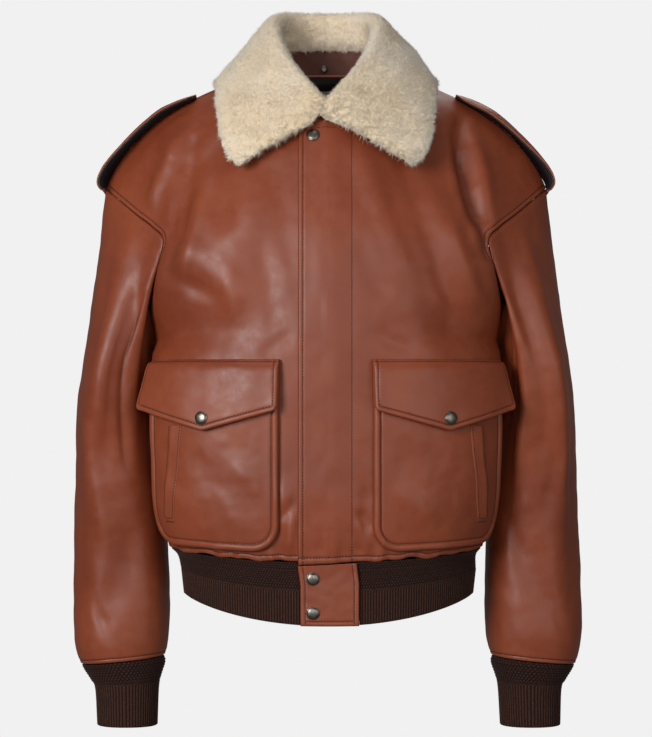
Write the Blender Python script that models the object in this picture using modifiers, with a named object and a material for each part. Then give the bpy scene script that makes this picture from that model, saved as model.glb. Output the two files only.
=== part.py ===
"""Leather bomber jacket with a shearling collar, hollow and filled out as if worn.

Tables are in millimetres and the scene is in metres. +Z is up, the front faces -Y and the wearer's
left side is at +X. The origin is on the centre line, level with the side neck points, where the
wearer's shoulders carry the jacket. Each cloth piece is a wall lofted from its own rows of sections.
"""

import math

import bpy
import numpy as np
from mathutils import Vector
from mathutils.bvhtree import BVHTree

MM = 0.001

# Driving sizes, in millimetres.
LEATHER = 1.8             # body and sleeve leather with its backing
KNIT = 2.4                # ribbed waistband and cuffs
SEAM_GAP = 0.3            # clear space between two pieces at a seam or a lap
FLY_EDGE = -31.0          # folded edge of the front fly, across from the centre front
FLY_RISE = 2.6            # the fly lies this far outside the front under it
UNDERLAP = 3.0            # the covered front stops this far short of the centre
TAB_LEFT, TAB_RIGHT = -32.0, 34.6
TAB_DROP = 72.0           # the tab ends this far below the leather's edge
TAB_GAP = 1.3             # and starts this far below it
SNAP_RADIUS = 7.5
RIB_PITCH = 3.2
RIB_DEPTH = 0.9
LAYER = 2.0               # flap and welt, two thin layers sewn together
STRAP = 1.4               # each of a shoulder strap's two layers
FUR = 10.0                # pile height outside the hide
COLLAR_MEET = 0.6         # each collar end stops this far from the centre line
SHARP = 40                # degrees, above which an edge is shaded sharp

# Front panel, one row for each section from the hem up to the shoulder seam. inner is on the centre
# front or the neckline, outer is on the side seam or the armhole, and lead_in and lead_out are the
# handles of the curve between them.
FRONT_ROWS = [
    # inner (x, y, z)     lead_in           lead_out          outer (x, y, z)
    ((0, -128, -557), (112, 0, 0), (0, -62, 0), (178, -22, -546)),
    ((0, -134, -530), (118, 0, 0), (2, -66, 0), (188, -26, -522)),
    ((0, -138, -490), (122, 0, 0), (4, -66, 0), (196, -30, -486)),
    ((0, -140, -435), (126, 0, 0), (4, -68, 0), (199, -32, -434)),
    ((0, -141, -380), (128, 0, 0), (4, -72, 0), (202, -28, -380)),
    ((0, -142, -330), (128, 0, 0), (10, -80, 0), (200, -14, -332)),
    ((0, -142, -290), (124, 0, -2), (7, -72, 0), (197, -4, -309)),
    ((0, -141, -245), (118, 0, -4), (5, -50, 4), (200, -44, -272)),
    ((0, -136, -195), (108, 0, -6), (4, -36, 8), (192, -74, -232)),
    ((0, -126, -145), (96, 0, -8), (-18, -28, 14), (184, -84, -196)),
    ((0, -111, -92), (84, 0, -6), (-34, -26, 26), (198, -69, -179)),
    ((0, -98, -61), (74, 3, -6), (-42, -22, 40), (216, -51, -165)),
    ((38, -86, -46), (60, 0, -12), (-44, -14, 52), (234, -30, -150)),
    ((66, -52, -22), (58, -2, -18), (-38, -6, 62), (247, -13, -139)),
    ((80, 0, 0), (70, 0, -20), (-27, 0, 74), (255, 0, -132)),
]
UNDERARM_ROW = 6          # the row that ends where the side seam meets the armhole
PIT_ROW = 11              # the row that starts at the bottom of the front neckline
NAPE_ROW = 12             # the row that starts at the centre of the back neckline
SHOULDER_ROW = 14         # the shoulder seam
ARMHOLE_ROWS = SHOULDER_ROW - UNDERARM_ROW

# Back panel, in the same way: inner is on the centre back or the back neckline.
BACK_ROWS = [
    # inner (x, y, z)     lead_in           lead_out          outer (x, y, z)
    ((0, 120, -545), (100, 0, 0), (-8, 72, 0), (178, -22, -546)),
    ((0, 127, -520), (104, 0, 0), (-12, 76, 0), (188, -26, -522)),
    ((0, 130, -484), (104, 0, 0), (-14, 80, 0), (196, -30, -486)),
    ((0, 131, -432), (106, 0, 0), (-14, 84, 0), (199, -32, -434)),
    ((0, 131, -380), (112, 0, 0), (-10, 82, 0), (202, -28, -380)),
    ((0, 132, -330), (118, 0, 0), (-10, 84, 0), (200, -14, -332)),
    ((0, 134, -285), (118, 0, -2), (-10, 66, 0), (197, -4, -309)),
    ((0, 136, -235), (114, 0, -4), (6, 46, 4), (203, 44, -276)),
    ((0, 135, -185), (106, 0, -6), (0, 34, 8), (197, 78, -236)),
    ((0, 130, -135), (96, 0, -8), (-18, 26, 14), (193, 90, -198)),
    ((0, 119, -90), (84, 0, -8), (-34, 24, 26), (205, 76, -178)),
    ((0, 103, -48), (74, 2, -6), (-42, 20, 40), (220, 56, -163)),
    ((0, 76, -2), (66, 2, 0), (-44, 14, 52), (236, 34, -149)),
    ((50, 62, -3), (62, 4, -8), (-38, 6, 62), (248, 15, -138)),
    ((80, 0, 0), (70, 0, -20), (-27, 0, 74), (255, 0, -132)),
]

# Soft folds of the fronts, seen from the front: x is out from the centre on the wearer's side named.
# A positive depth is a ridge and a negative one a trough.
FRONT_FOLDS = [
    # side   from (x, z)     to (x, z)     half width  depth
    ("left", (140, -62), (178, -205), 13, -9.0),
    ("left", (168, -80), (192, -196), 12, 5.0),
    ("left", (60, -110), (176, -262), 22, -4.0),
    ("left", (88, -118), (196, -318), 20, 4.0),
    ("left", (40, -190), (120, -330), 26, 3.0),
    ("right", (172, -66), (196, -190), 14, 5.0),
    ("right", (150, -110), (180, -232), 11, -5.0),
    ("right", (134, -130), (166, -250), 12, 4.0),
    ("right", (166, -200), (96, -262), 20, 3.5),
    ("right", (60, -120), (30, -290), 26, -3.0),
    ("right", (48, -470), (36, -545), 9, 3.5),
    ("left", (46, -470), (40, -550), 8, -2.5),
]

# Sleeve, one row for each ring below the armhole, on the wearer's left.
SLEEVE_RINGS = [
    # z     inner x  outer x  mid y  half depth  inner side is higher by
    (-334, 202, 282, 6, 78, 0),
    (-383, 204, 289.5, 12, 76, 0),
    (-440, 199, 291.5, 20, 70, 0),
    (-493, 191, 293, 24, 65, 0),
    (-549, 184, 294, 24, 60, 0),
    (-600, 182, 294, 22, 57, 1),
    (-642, 182, 293.5, 20, 54, 3),
    (-665, 184, 290.5, 19, 50, 4),
    (-679, 189, 283.5, 18, 45, 5),
]
SLEEVE_ROWS = np.concatenate([np.linspace(0, 4, 6), [5, 6, 7, 8]])
CAP_RINGS = 6             # rings between the armhole and the first row above
CAP_HOLLOW = 1.0          # the cap dips this much inwards below the shoulder point
CAP_FULL = 4.5            # and swells this much outwards beside the underarm

# Soft folds of the sleeves: angle round the ring from the outer side through the front.
SLEEVE_FOLDS = [
    # angle at top, at bottom, from z, to z, half width in degrees, depth
    (64, 52, -170, -520, 13, 4.5),
    (92, 84, -215, -470, 13, -5.0),
    (30, 40, -330, -640, 16, -2.5),
    (112, 74, -500, -650, 16, -3.5),
    (200, 214, -360, -620, 18, -3.0),
    (262, 250, -190, -500, 15, 4.0),
    (290, 285, -240, -560, 16, -4.0),
]

CUFF_RINGS = [
    # z     inner x  outer x  mid y  half depth  inner side is higher by
    (-686, 187.5, 281, 18, 44.5, 4),
    (-700, 192, 272.5, 17, 41, 3),
    (-712, 195, 267.5, 16, 38.5, 1),
    (-754, 196.5, 265, 15, 36.5, 0),
]
CUFF_COLUMNS = 22
SLEEVE_SWING = {"left": 7.0, "right": 0.5}    # the cuffs hang this far out of the table's line

# Waistband, one row for each level below the leather: front centre, side and back centre.
WAIST_ROWS = [
    # drop from the leather at front, side, back   inset at front, side, back
    (0.5, 0.5, 0.5, 0.3, 0.3, 0.3),
    (11, 9, 9, 1.5, 7, 3),
    (33, 25, 27, 2.0, 9, 6),
    (71, 52, 55, 3.5, 12, 9),
]
WAIST_COLUMNS = 48
WAIST_SHIFT = 3.0         # the waistband hangs this far to the wearer's left
WAIST_LAP = 8.0           # the band's right end lies this far under the tab

# Collar, from centre back to the front end on the wearer's left. foot is where the fur starts
# inside the neck, roll is the fold line and edge the leaf's outer edge, all on the hide.
COLLAR_STATIONS = [
    # foot (x, y, z)     roll (x, y, z)    edge (x, y, z)
    ((0, 76, 36), (0, 85, 71), (0, 128, -8)),
    ((26, 73, 35), (29, 80, 71), (44, 126, -8)),
    ((48, 60, 34), (51, 62, 69), (84, 108, -8)),
    ((61, 38, 31), (60, 37, 62), (111, 68, -7)),
    ((68, 14, 26), (62, 10, 50), (120, 26, -5)),
    ((66, -16, 12), (58, -16, 33), (122, -20, -16)),
    ((57, -42, -6), (49, -42, 12), (119, -64, -46)),
    ((41, -64, -25), (34, -64, -10), (116, -94, -77)),
    ((21, -81, -43), (18, -82, -29), (108, -112, -101)),
    ((4, -90, -54), (4, -94, -44), (97, -119, -111)),
]

STAND_FEET = [
    # x     y     z, where the leather band inside the neck meets the neckline
    (0, 72.2, 0.6), (26, 68.6, 0.1), (48, 59.1, 0.1), (66, 38.4, 0.8), (76.5, 8, 1.2), (73.5, -21, -7),
    (63, -48, -22), (46, -70, -37), (25, -84, -51), (6, -91.5, -60),
]

# Pocket, flap and hand opening, in distance across the front from the centre and height.
POCKET = {"inner": 52, "outer": 218, "top": -336, "bottom": -546, "corner": 30, "rim": 6.0, "clear": 2.2}
FLAP = {"inner": 51, "outer": 219, "top": -330, "side": -386, "point": -410, "rise": 9.0, "lift": 8.0}
WELT = {"top_inner": 164, "top_outer": 179, "top": -404, "bottom_inner": 178, "bottom_outer": 192,
        "bottom": -518, "clear": 1.3, "rise": 1.5}

# Shoulder strap: its upper face seen from the front, from the armhole seam to its tip.
STRAP_PATH = [
    # x      z      half width  its long edges lie lower by: front right, front left, rear right, rear left
    (256.9, -133.7, 24.5, 3, 4, 12, 11),
    (262.0, -131.4, 25, 3, 3.5, 14.5, 11),
    (265.5, -124, 25, 3, 3, 15, 10),
    (262.5, -113, 25, 3, 3, 14, 10),
    (253, -98, 24.5, 3, 4, 12, 11),
    (236, -78.5, 24, 3.5, 5.5, 10, 10),
    (215, -57.5, 23, 3.5, 6.5, 9, 9),
    (194, -40.5, 22, 3.5, 7, 8, 8),
    (174, -30.6, 21, 3, 6.5, 7, 7),
    (160, -25.6, 17, 2, 4, 4, 4),
    (151, -23.0, 4, 0.5, 0.5, 1, 1),
]


def curve_through(rows, at):
    """Catmull-Rom values of a table at fractional row numbers."""
    rows = np.asarray(rows, float)
    at = np.clip(np.asarray(at, float), 0, len(rows) - 1)
    first = np.minimum(at.astype(int), len(rows) - 2)
    u = (at - first).reshape(-1, *[1] * (rows.ndim - 1))
    before = np.where(first > 0, first - 1, 0)
    after = np.minimum(first + 2, len(rows) - 1)
    p0, p1, p2, p3 = rows[before], rows[first], rows[first + 1], rows[after]
    p0 = np.where((first == 0).reshape(u.shape), 2 * p1 - p2, p0)
    p3 = np.where((first + 2 > len(rows) - 1).reshape(u.shape), 2 * p2 - p1, p3)
    return 0.5 * (2 * p1 + (p2 - p0) * u + (2 * p0 - 5 * p1 + 4 * p2 - p3) * u**2
                  + (3 * p1 - p0 - 3 * p2 + p3) * u**3)


def bezier(a, b, c, d, s):
    s = s[None, :, None]
    a, b, c, d = (p[:, None, :] for p in (a, b, c, d))
    return a * (1 - s)**3 + 3 * b * s * (1 - s)**2 + 3 * c * s**2 * (1 - s) + d * s**3


def unit(v):
    return v / np.maximum(np.linalg.norm(v, axis=-1, keepdims=True), 1e-9)


def grid_normals(points, closed=False):
    """Normals of a grid of points [row, column], on the left of a row that runs in column order."""
    if closed:
        across = np.roll(points, -1, 1) - np.roll(points, 1, 1)
    else:
        across = np.gradient(points, axis=1)
    return unit(np.cross(across, np.gradient(points, axis=0)))


def mirror_x(points):
    return points * np.array([-1.0, 1.0, 1.0])


class Panel:
    """Half of the front or back, as rows of curves from its inner to its outer edge."""

    def __init__(self, table):
        rows = np.array(table, float)
        inner, outer = rows[:, 0], rows[:, 3]
        self.rows = np.stack([inner, inner + rows[:, 1], outer + rows[:, 2], outer], axis=1)
        dense = self.points(np.linspace(0, len(rows) - 1, 141), np.linspace(0, 1, 81))
        run = np.linalg.norm(np.diff(dense, axis=1), axis=2).cumsum(1)
        self.run = np.hstack([np.zeros((len(run), 1)), run])
        self.dense = dense

    def points(self, at, s):
        c = curve_through(self.rows, at)
        at = np.asarray(at)
        side, armhole = self.rows[:UNDERARM_ROW + 1, 3], self.rows[UNDERARM_ROW:, 3]
        c[:, 3] = np.where((at <= UNDERARM_ROW)[:, None], curve_through(side, at),
                           curve_through(armhole, at - UNDERARM_ROW))
        return bezier(c[:, 0], c[:, 1], c[:, 2], c[:, 3], s)

    def at(self, across, height):
        """Point at a distance across from the centre line, on the row that has this height there."""
        row = np.interp(height, self.dense[:, 0, 2], np.arange(len(self.dense)))
        low = int(min(row, len(self.dense) - 2))
        found = []
        for r in (low, low + 1):
            found.append([np.interp(abs(across), self.run[r], self.dense[r, :, k]) for k in range(3)])
        p = np.array(found[0]) * (low + 1 - row) + np.array(found[1]) * (row - low)
        return p * ([-1, 1, 1] if across < 0 else [1, 1, 1])


FRONT = Panel(FRONT_ROWS)
BACK = Panel(BACK_ROWS)


def fold_push(side, points):
    """How far the folds of one front push each point out along its normal."""
    push = np.zeros(points.shape[:-1])
    flat = np.stack([np.abs(points[..., 0]), points[..., 2]], axis=-1)
    for where, start, end, half_width, depth in FRONT_FOLDS:
        if where != side:
            continue
        a, b = np.array(start, float), np.array(end, float)
        along = (flat - a) @ (b - a) / ((b - a) @ (b - a))
        away = np.linalg.norm(flat - a - np.clip(along, 0, 1)[..., None] * (b - a), axis=-1)
        fade = np.clip(np.minimum(along + 0.25, 1.25 - along) / 0.5, 0, 1)
        push += depth * np.exp(-(away / half_width)**2) * fade * fade * (3 - 2 * fade)
    return push


def edge_fade(shape, reach):
    """0 on a grid's top and outer edges, which meet other pieces, rising to 1 inside."""
    rows, columns = shape
    up = np.clip((rows - 1 - np.arange(rows)) / reach, 0, 1)[:, None]
    out = np.clip((columns - 1 - np.arange(columns)) / reach, 0, 1)[None, :]
    down = np.clip(np.arange(rows) / 1.0, 0, 1)[:, None]
    return up * out * down


def armhole_normals(points, rows_at):
    """At the armhole the walls stand square to a line inside it, from the armpit to the shoulder."""
    up = ((np.asarray(rows_at) - UNDERARM_ROW) / ARMHOLE_ROWS)[:, None]
    core = np.array([200.0, 0.0, -235.0]) * (1 - up) + np.array([150.0, 0.0, -170.0]) * up
    return unit(points - core)


def set_rim_normals(normals, points, rows_at):
    """Turns the wall's direction at the seams, so that both pieces at a seam share it."""
    tip = np.gradient(points[-1], axis=0)
    normals[-1] = unit(np.stack([-tip[:, 2], 0 * tip[:, 0], tip[:, 0]], axis=1))
    normals[:, -1] = np.where((rows_at >= UNDERARM_ROW)[:, None], armhole_normals(points[:, -1], rows_at),
                              (1.0, 0.0, 0.0))
    normals[rows_at == UNDERARM_ROW - 1, -1] = (0.97, 0.0, -0.24)
    return normals


def add_object(name, verts, faces, material):
    mesh = bpy.data.meshes.new(name)
    mesh.from_pydata([tuple(v) for v in np.asarray(verts) * MM], [], faces)
    mesh.materials.append(material)
    obj = bpy.data.objects.new(name, mesh)
    JACKET.objects.link(obj)
    mesh.shade_smooth()
    mesh.set_sharp_from_angle(angle=math.radians(SHARP))
    return obj


def wall(name, outer, inner, material, closed=False, keep=None, flip=False):
    """A closed wall between two grids of points that share rows and columns."""
    rows, columns = outer.shape[:2]
    outer, inner = outer.reshape(-1, 3), inner.reshape(-1, 3)
    first = {}
    same = [first.setdefault(tuple(np.round(p, 3)), i) for i, p in enumerate(outer)]
    quads = []
    for r in range(rows - 1):
        for c in range(columns if closed else columns - 1):
            n = (c + 1) % columns
            if keep is None or keep(r, c):
                corners = (r * columns + c, r * columns + n, (r + 1) * columns + n, (r + 1) * columns + c)
                quad = list(dict.fromkeys(same[v] for v in corners))
                if len(quad) > 2:
                    quads.append(quad[::-1] if flip else quad)
    count = len(outer)
    edges = {(q[i], q[(i + 1) % len(q)]) for q in quads for i in range(len(q))}
    faces = quads + [[v + count for v in (q[0], *q[:0:-1])] for q in quads]
    faces += [[b, a, a + count, b + count] for a, b in sorted(edges) if (b, a) not in edges]
    faces = [[f[0], f[i], f[i + 1]] for f in faces for i in range(1, len(f) - 1)]
    used = sorted({v for f in faces for v in f})
    place = {v: i for i, v in enumerate(used)}
    verts = np.concatenate([outer, inner])[used]
    return add_object(name, verts, [[place[v] for v in f] for f in faces], material)


def front_grid(side, rows_at, s):
    """Outer points and normals of half of the front, on the wearer's left before it is mirrored."""
    points = FRONT.points(rows_at, s)
    points[:, -1, 1] -= np.where(np.asarray(rows_at) <= UNDERARM_ROW, SEAM_GAP, 0)
    points[-1, :, 1] -= SEAM_GAP / 2
    normals = grid_normals(points)
    points = points + normals * (fold_push(side, points) * edge_fade(points.shape[:2], 3))[..., None]
    return points, set_rim_normals(grid_normals(points), points, rows_at)


def fly_rise(x):
    """The fly's step outwards over the covered front, as a function of the distance across."""
    u = np.clip((30.0 - x) / 24.0, 0, 1)
    return FLY_RISE * u * u * (3 - 2 * u)


BODY_ROWS = np.concatenate([[0, 0.5, 1, 2, 3, 4, 5, 6, 6.7, 7.4, 8.1, 8.8, 9.5, 10.25],
                            np.linspace(PIT_ROW, SHOULDER_ROW, 7)])
ACROSS = 1 - (1 - np.linspace(0, 1, 13))**1.12
FLY_STEPS = np.array([1.0, 0.7, 0.35])    # columns of the fly, as shares of FLY_EDGE


def make_front_right(material):
    points, normals = front_grid("right", BODY_ROWS, ACROSS)
    low = BODY_ROWS <= PIT_ROW
    points[low, 0, 0] += UNDERLAP
    return wall("front_right", mirror_x(points), mirror_x(points - normals * LEATHER), material, flip=True)


def make_front_left(material):
    """The left front reaches past the centre as the fly, up to the bottom of the neckline."""
    points, normals = front_grid("left", BODY_ROWS, ACROSS)
    under, under_normals = front_grid("right", BODY_ROWS, ACROSS)
    fly, fly_normals = [], []
    for x in FLY_STEPS * FLY_EDGE:
        fly.append([[x, np.interp(-x, r[:, 0], r[:, 1]), np.interp(-x, r[:, 0], r[:, 2])] for r in under])
        fly_normals.append([[-np.interp(-x, r[:, 0], n[:, 0]), np.interp(-x, r[:, 0], n[:, 1]),
                             np.interp(-x, r[:, 0], n[:, 2])] for r, n in zip(under, under_normals)])
    points = np.concatenate([np.array(fly).transpose(1, 0, 2), points], axis=1)
    normals = np.concatenate([np.array(fly_normals).transpose(1, 0, 2), normals], axis=1)
    pit = int(np.argmin(np.abs(BODY_ROWS - PIT_ROW)))
    points[0, :, 2] -= fly_drop(points[0, :, 0])
    raised = np.arange(len(BODY_ROWS))[:, None] <= pit + 1
    points += normals * np.where(raised, fly_rise(points[..., 0]), 0)[..., None]
    return wall("front_left", points, points - normals * LEATHER, material,
                keep=lambda r, c: c >= len(FLY_STEPS) or r < pit)


def make_back(material):
    half = BACK.points(BODY_ROWS, ACROSS)
    half[:, -1, 1] += np.where(BODY_ROWS <= UNDERARM_ROW, SEAM_GAP, 0)
    half[-1, :, 1] += SEAM_GAP / 2
    normals = -grid_normals(half)
    normals[BODY_ROWS <= NAPE_ROW, 0, 0] = 0
    normals = set_rim_normals(normals, half, BODY_ROWS)
    points = np.concatenate([mirror_x(half)[:, ::-1], half], axis=1)
    normals = np.concatenate([mirror_x(normals)[:, ::-1], normals], axis=1)
    return wall("back", points, points - normals * LEATHER, material, flip=True,
                keep=lambda r, c: c != half.shape[1] - 1)


SEAM_ROWS = BODY_ROWS[BODY_ROWS >= UNDERARM_ROW]
TURN = 180 * (SHOULDER_ROW - SEAM_ROWS) / ARMHOLE_ROWS
SLEEVE_ANGLES = np.concatenate([TURN[::-1], 360 - TURN[1:-1]])


def armhole_loop():
    """Points on the armhole: 0 at the shoulder point, 90 front, 180 under the arm."""
    front = FRONT.points(SEAM_ROWS, np.array([1.0]))[:, 0]
    back = BACK.points(SEAM_ROWS, np.array([1.0]))[:, 0]
    return np.concatenate([front[::-1], back[1:-1]])


def ring(row, angles, power=2.2):
    """A rounded sleeve section. Its seam side is at the shoulder point's angle."""
    z, inner, outer, mid, half_depth, rise = row
    a = np.radians(angles)
    c, s = np.cos(a), np.sin(a)
    x = (inner + outer) / 2 + (outer - inner) / 2 * np.sign(c) * np.abs(c)**(2 / power)
    y = mid - half_depth * np.sign(s) * np.abs(s)**(2 / power)
    return np.stack([x, y, z - rise * c], axis=1)


def swing(side, points):
    """The left sleeve hangs a little further out towards its cuff."""
    share = np.clip((-480 - points[..., 2]) / 274, 0, 1)
    return points + (SLEEVE_SWING[side] * share)[..., None] * np.array([1.0, 0.0, 0.0])


def sleeve_push(points, angles):
    push = np.zeros(points.shape[:2])
    z = points[..., 2]
    for top_angle, low_angle, top, low, half_width, depth in SLEEVE_FOLDS:
        u = np.clip((top - z) / (top - low), 0, 1)
        off = np.abs((angles[None, :] - (top_angle + (low_angle - top_angle) * u) + 180) % 360 - 180)
        fade = np.clip(np.minimum(top - z, z - low) / 45.0, 0, 1)
        push += depth * np.exp(-(off / half_width)**2) * fade
    return push


def make_sleeve(side, material):
    angles = SLEEVE_ANGLES
    loop = armhole_loop()
    seam_rows = np.concatenate([SEAM_ROWS[::-1], SEAM_ROWS[1:-1]])
    seam_normals = armhole_normals(loop, seam_rows)
    along = np.roll(loop, -1, 0) - np.roll(loop, 1, 0)
    first = ring(SLEEVE_RINGS[0], angles)
    lower = np.array([ring(r, angles) for r in curve_through(SLEEVE_RINGS, SLEEVE_ROWS)])
    start = loop + unit(np.cross(seam_normals, along)) * SEAM_GAP * 1.5
    cap = []
    for k in range(CAP_RINGS):
        f = k / CAP_RINGS
        blend = start * (1 - f) + first * f
        lean = np.cos(np.radians(angles))
        blend[:, 0] -= math.sin(math.pi * f) * np.where(lean > 0, CAP_HOLLOW, CAP_FULL) * lean
        cap.append(blend)
    points = swing(side, np.concatenate([np.array(cap), lower]))
    points = points + (grid_normals(points, True) * sleeve_push(points, angles)[..., None])
    normals = grid_normals(points, closed=True)
    normals[0] = seam_normals
    normals[-1] = unit((points[-1] - points[-1].mean(0)) * (1, 1, 0))
    inner = points - normals * LEATHER
    if side == "left":
        wall("sleeve_left", points, inner, material, closed=True)
    else:
        wall("sleeve_right", mirror_x(points), mirror_x(inner), material, closed=True, flip=True)


def snap(name, centre, normal, radius, material, height=3.0):
    """A domed snap cap, turned from its profile about the normal."""
    profile = [(0, 1), (0.5, 0.94), (0.62, 0.72), (0.8, 0.78), (1, 0.3), (0.95, 0), (0, 0)]
    verts = [(radius * r * MM, 0, height * h * MM) for r, h in profile]
    mesh = bpy.data.meshes.new(name)
    mesh.from_pydata(verts, [(i, i + 1) for i in range(len(verts) - 1)], [])
    mesh.materials.append(material)
    obj = bpy.data.objects.new(name, mesh)
    JACKET.objects.link(obj)
    obj.location = [c * MM for c in centre]
    obj.rotation_euler = Vector(normal).to_track_quat("Z", "Y").to_euler()
    screw = obj.modifiers.new("turn", "SCREW")
    screw.steps = screw.render_steps = 10
    screw.use_merge_vertices = True
    screw.merge_threshold = 0.0001
    return obj


def tree_of(obj):
    verts = [v.co / MM for v in obj.data.vertices]
    return BVHTree.FromPolygons(verts, [p.vertices for p in obj.data.polygons])


def landed(points, normals, objects):
    """Moves points along their normals onto the outermost of these objects."""
    trees = [tree_of(o) for o in objects]
    out = np.array(points, float)
    for i in np.ndindex(points.shape[:-1]):
        n = Vector(normals[i])
        start = Vector(points[i]) + n * 40
        hits = [tree.ray_cast(start, -n, 80)[0] for tree in trees]
        hits = [h for h in hits if h is not None]
        if hits:
            out[i] = max(hits, key=lambda h: h.dot(n))
    return out


def on_front(side, across, heights, objects):
    """A grid on one front, from rows of distances across and heights, with its normals."""
    sign = 1 if side == "left" else -1
    grid = np.array([[FRONT.at(a, h) for a, h in zip(ra, rh)] for ra, rh in zip(across, heights)])
    normals = grid_normals(grid)
    flip = np.array([sign, 1, 1])
    grid, normals = grid * flip, normals * flip
    return landed(grid, normals, objects), normals


def make_pocket(side, front, material):
    width = POCKET["outer"] - POCKET["inner"]
    height = POCKET["top"] - POCKET["bottom"]
    u = np.array([0, 4, 9, 14, 42, 70, 100, 128, width - 14, width - 9, width - 4, width])
    v = np.array([0, 4, 9, 14, 50, 90, 130, 165, height - 20, height])
    du = np.minimum(u, width - u)
    inset = np.minimum(du[None, :], v[:, None])
    relief = np.interp(inset, [0, 4, 9, 14, 60], [1.6, POCKET["rim"], 3.2, 3.4, 4.0])
    relief = np.minimum(relief, np.interp(height - v, [0, 20, 50], [1.6, 2.4, 6.0])[:, None])
    corner = POCKET["corner"]
    a, b = np.meshgrid(u, v)
    side_off = np.maximum(corner - np.minimum(a, width - a), 0)
    low_off = np.maximum(corner - b, 0)
    length = np.maximum(np.hypot(side_off, low_off), 1e-9)
    shrink = np.where((side_off > 0) & (low_off > 0), np.maximum(side_off, low_off) / length, 1)
    shift_u = side_off * (1 - shrink)
    a = np.where(a < width / 2, a + shift_u, a - shift_u)
    b = b + low_off * (1 - shrink)
    grid, normals = on_front(side, POCKET["inner"] + a, POCKET["bottom"] + b, [front])
    grid = grid + normals * POCKET["clear"]
    return wall("pocket_" + side, grid + normals * relief[..., None], grid, material, flip=side == "right")


def make_flap(side, front, material):
    inner, outer = FLAP["inner"], FLAP["outer"]
    share = np.array([0, 0.12, 0.25, 0.375, 0.5, 0.625, 0.75, 0.88, 1])
    down = np.array([1, 0.8, 0.55, 0.3, 0.12, 0])
    low = FLAP["side"] + (FLAP["point"] - FLAP["side"]) * (1 - abs(2 * share - 1))
    across = np.tile(inner + (outer - inner) * share, (len(down), 1))
    heights = FLAP["top"] + (low[None, :] - FLAP["top"]) * down[:, None]
    grid, normals = on_front(side, across, heights, [front])
    rise = np.interp(down, [0, 0.12, 0.3, 0.55, 1], [2.2, 6.4, 6.8, 7.4, FLAP["rise"]])[:, None]
    rise = rise + FLAP["lift"] * (share**6)[None, :] * down[:, None]
    base = grid + normals * rise[..., None]
    return wall("pocket_flap_" + side, base + normals * LAYER, base, material, flip=side == "right")


def make_welt(side, under, material):
    f = np.linspace(0, 1, 7)[:, None]
    g = np.array([0, 0.5, 1])[None, :]
    inner = WELT["bottom_inner"] + (WELT["top_inner"] - WELT["bottom_inner"]) * f
    outer = WELT["bottom_outer"] + (WELT["top_outer"] - WELT["bottom_outer"]) * f
    across = inner + (outer - inner) * g
    heights = WELT["bottom"] + (WELT["top"] - WELT["bottom"]) * f + 0 * g
    grid, normals = on_front(side, across, heights, under)
    grid = grid + normals * WELT["clear"]
    return wall("pocket_welt_" + side, grid + normals * WELT["rise"], grid, material, flip=side == "right")


def waist_loop():
    """The leather's lower edge all round, from the centre front to the wearer's left."""
    s = np.linspace(0, 1, 60)
    front = FRONT.points([0.0], s)[0]
    back = BACK.points([0.0], s)[0]
    half = np.concatenate([front, back[::-1][1:]])
    loop = np.concatenate([half, mirror_x(half)[::-1][1:]])
    return loop


def waist_section(at, row):
    """Points of the waistband at these shares of the way round, on one row of WAIST_ROWS."""
    loop = waist_loop()
    run = np.concatenate([[0], np.linalg.norm(np.diff(loop, axis=0), axis=1).cumsum()])
    at = np.asarray(at) * run[-1]
    p = np.stack([np.interp(at, run, loop[:, k]) for k in range(3)], axis=1)
    ahead = np.stack([np.interp(at + 4, run, loop[:, k]) for k in range(3)], axis=1)
    behind = np.stack([np.interp(at - 4, run, loop[:, k]) for k in range(3)], axis=1)
    along = unit((ahead - behind) * (1, 1, 0))
    outward = np.stack([along[:, 1], -along[:, 0], 0 * along[:, 0]], axis=1)
    to_side = np.clip(np.abs(p[:, 0]) / 176, 0, 1)**2
    ends = np.where(p[:, 1] < -22, row[0], row[2]), np.where(p[:, 1] < -22, row[3], row[5])
    drop = ends[0] + (row[1] - ends[0]) * to_side
    inset = ends[1] + (row[4] - ends[1]) * to_side
    p = p - outward * inset[:, None] - np.outer(drop, (0, 0, 1))
    return p + np.outer(np.clip(drop / 25, 0, 1), (WAIST_SHIFT, 0, 0)), outward, run[-1]


def bridge(a, b, cells, closed):
    """Faces between two rows of points, where each row may have its own number of steps in a cell."""
    na, nb = len(a) // cells, len(b) // cells
    a = list(a) + ([a[0]] if closed else [])
    b = list(b) + ([b[0]] if closed else [])
    faces = []
    for cell in range(cells):
        p, q = a[cell * na:cell * na + na + 1], b[cell * nb:cell * nb + nb + 1]
        if na == nb:
            faces += [[p[j], q[j], q[j + 1], p[j + 1]] for j in range(na)]
        elif na == 1:
            faces += [[p[0] if j < nb // 2 else p[1], q[j], q[j + 1]] for j in range(nb)]
            faces.append([p[0], q[nb // 2], p[1]])
        else:
            faces += [[p[j], q[0] if j < na // 2 else q[1], p[j + 1]] for j in range(na)]
            faces.append([p[na // 2], q[0], q[1]])
    return faces


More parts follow.
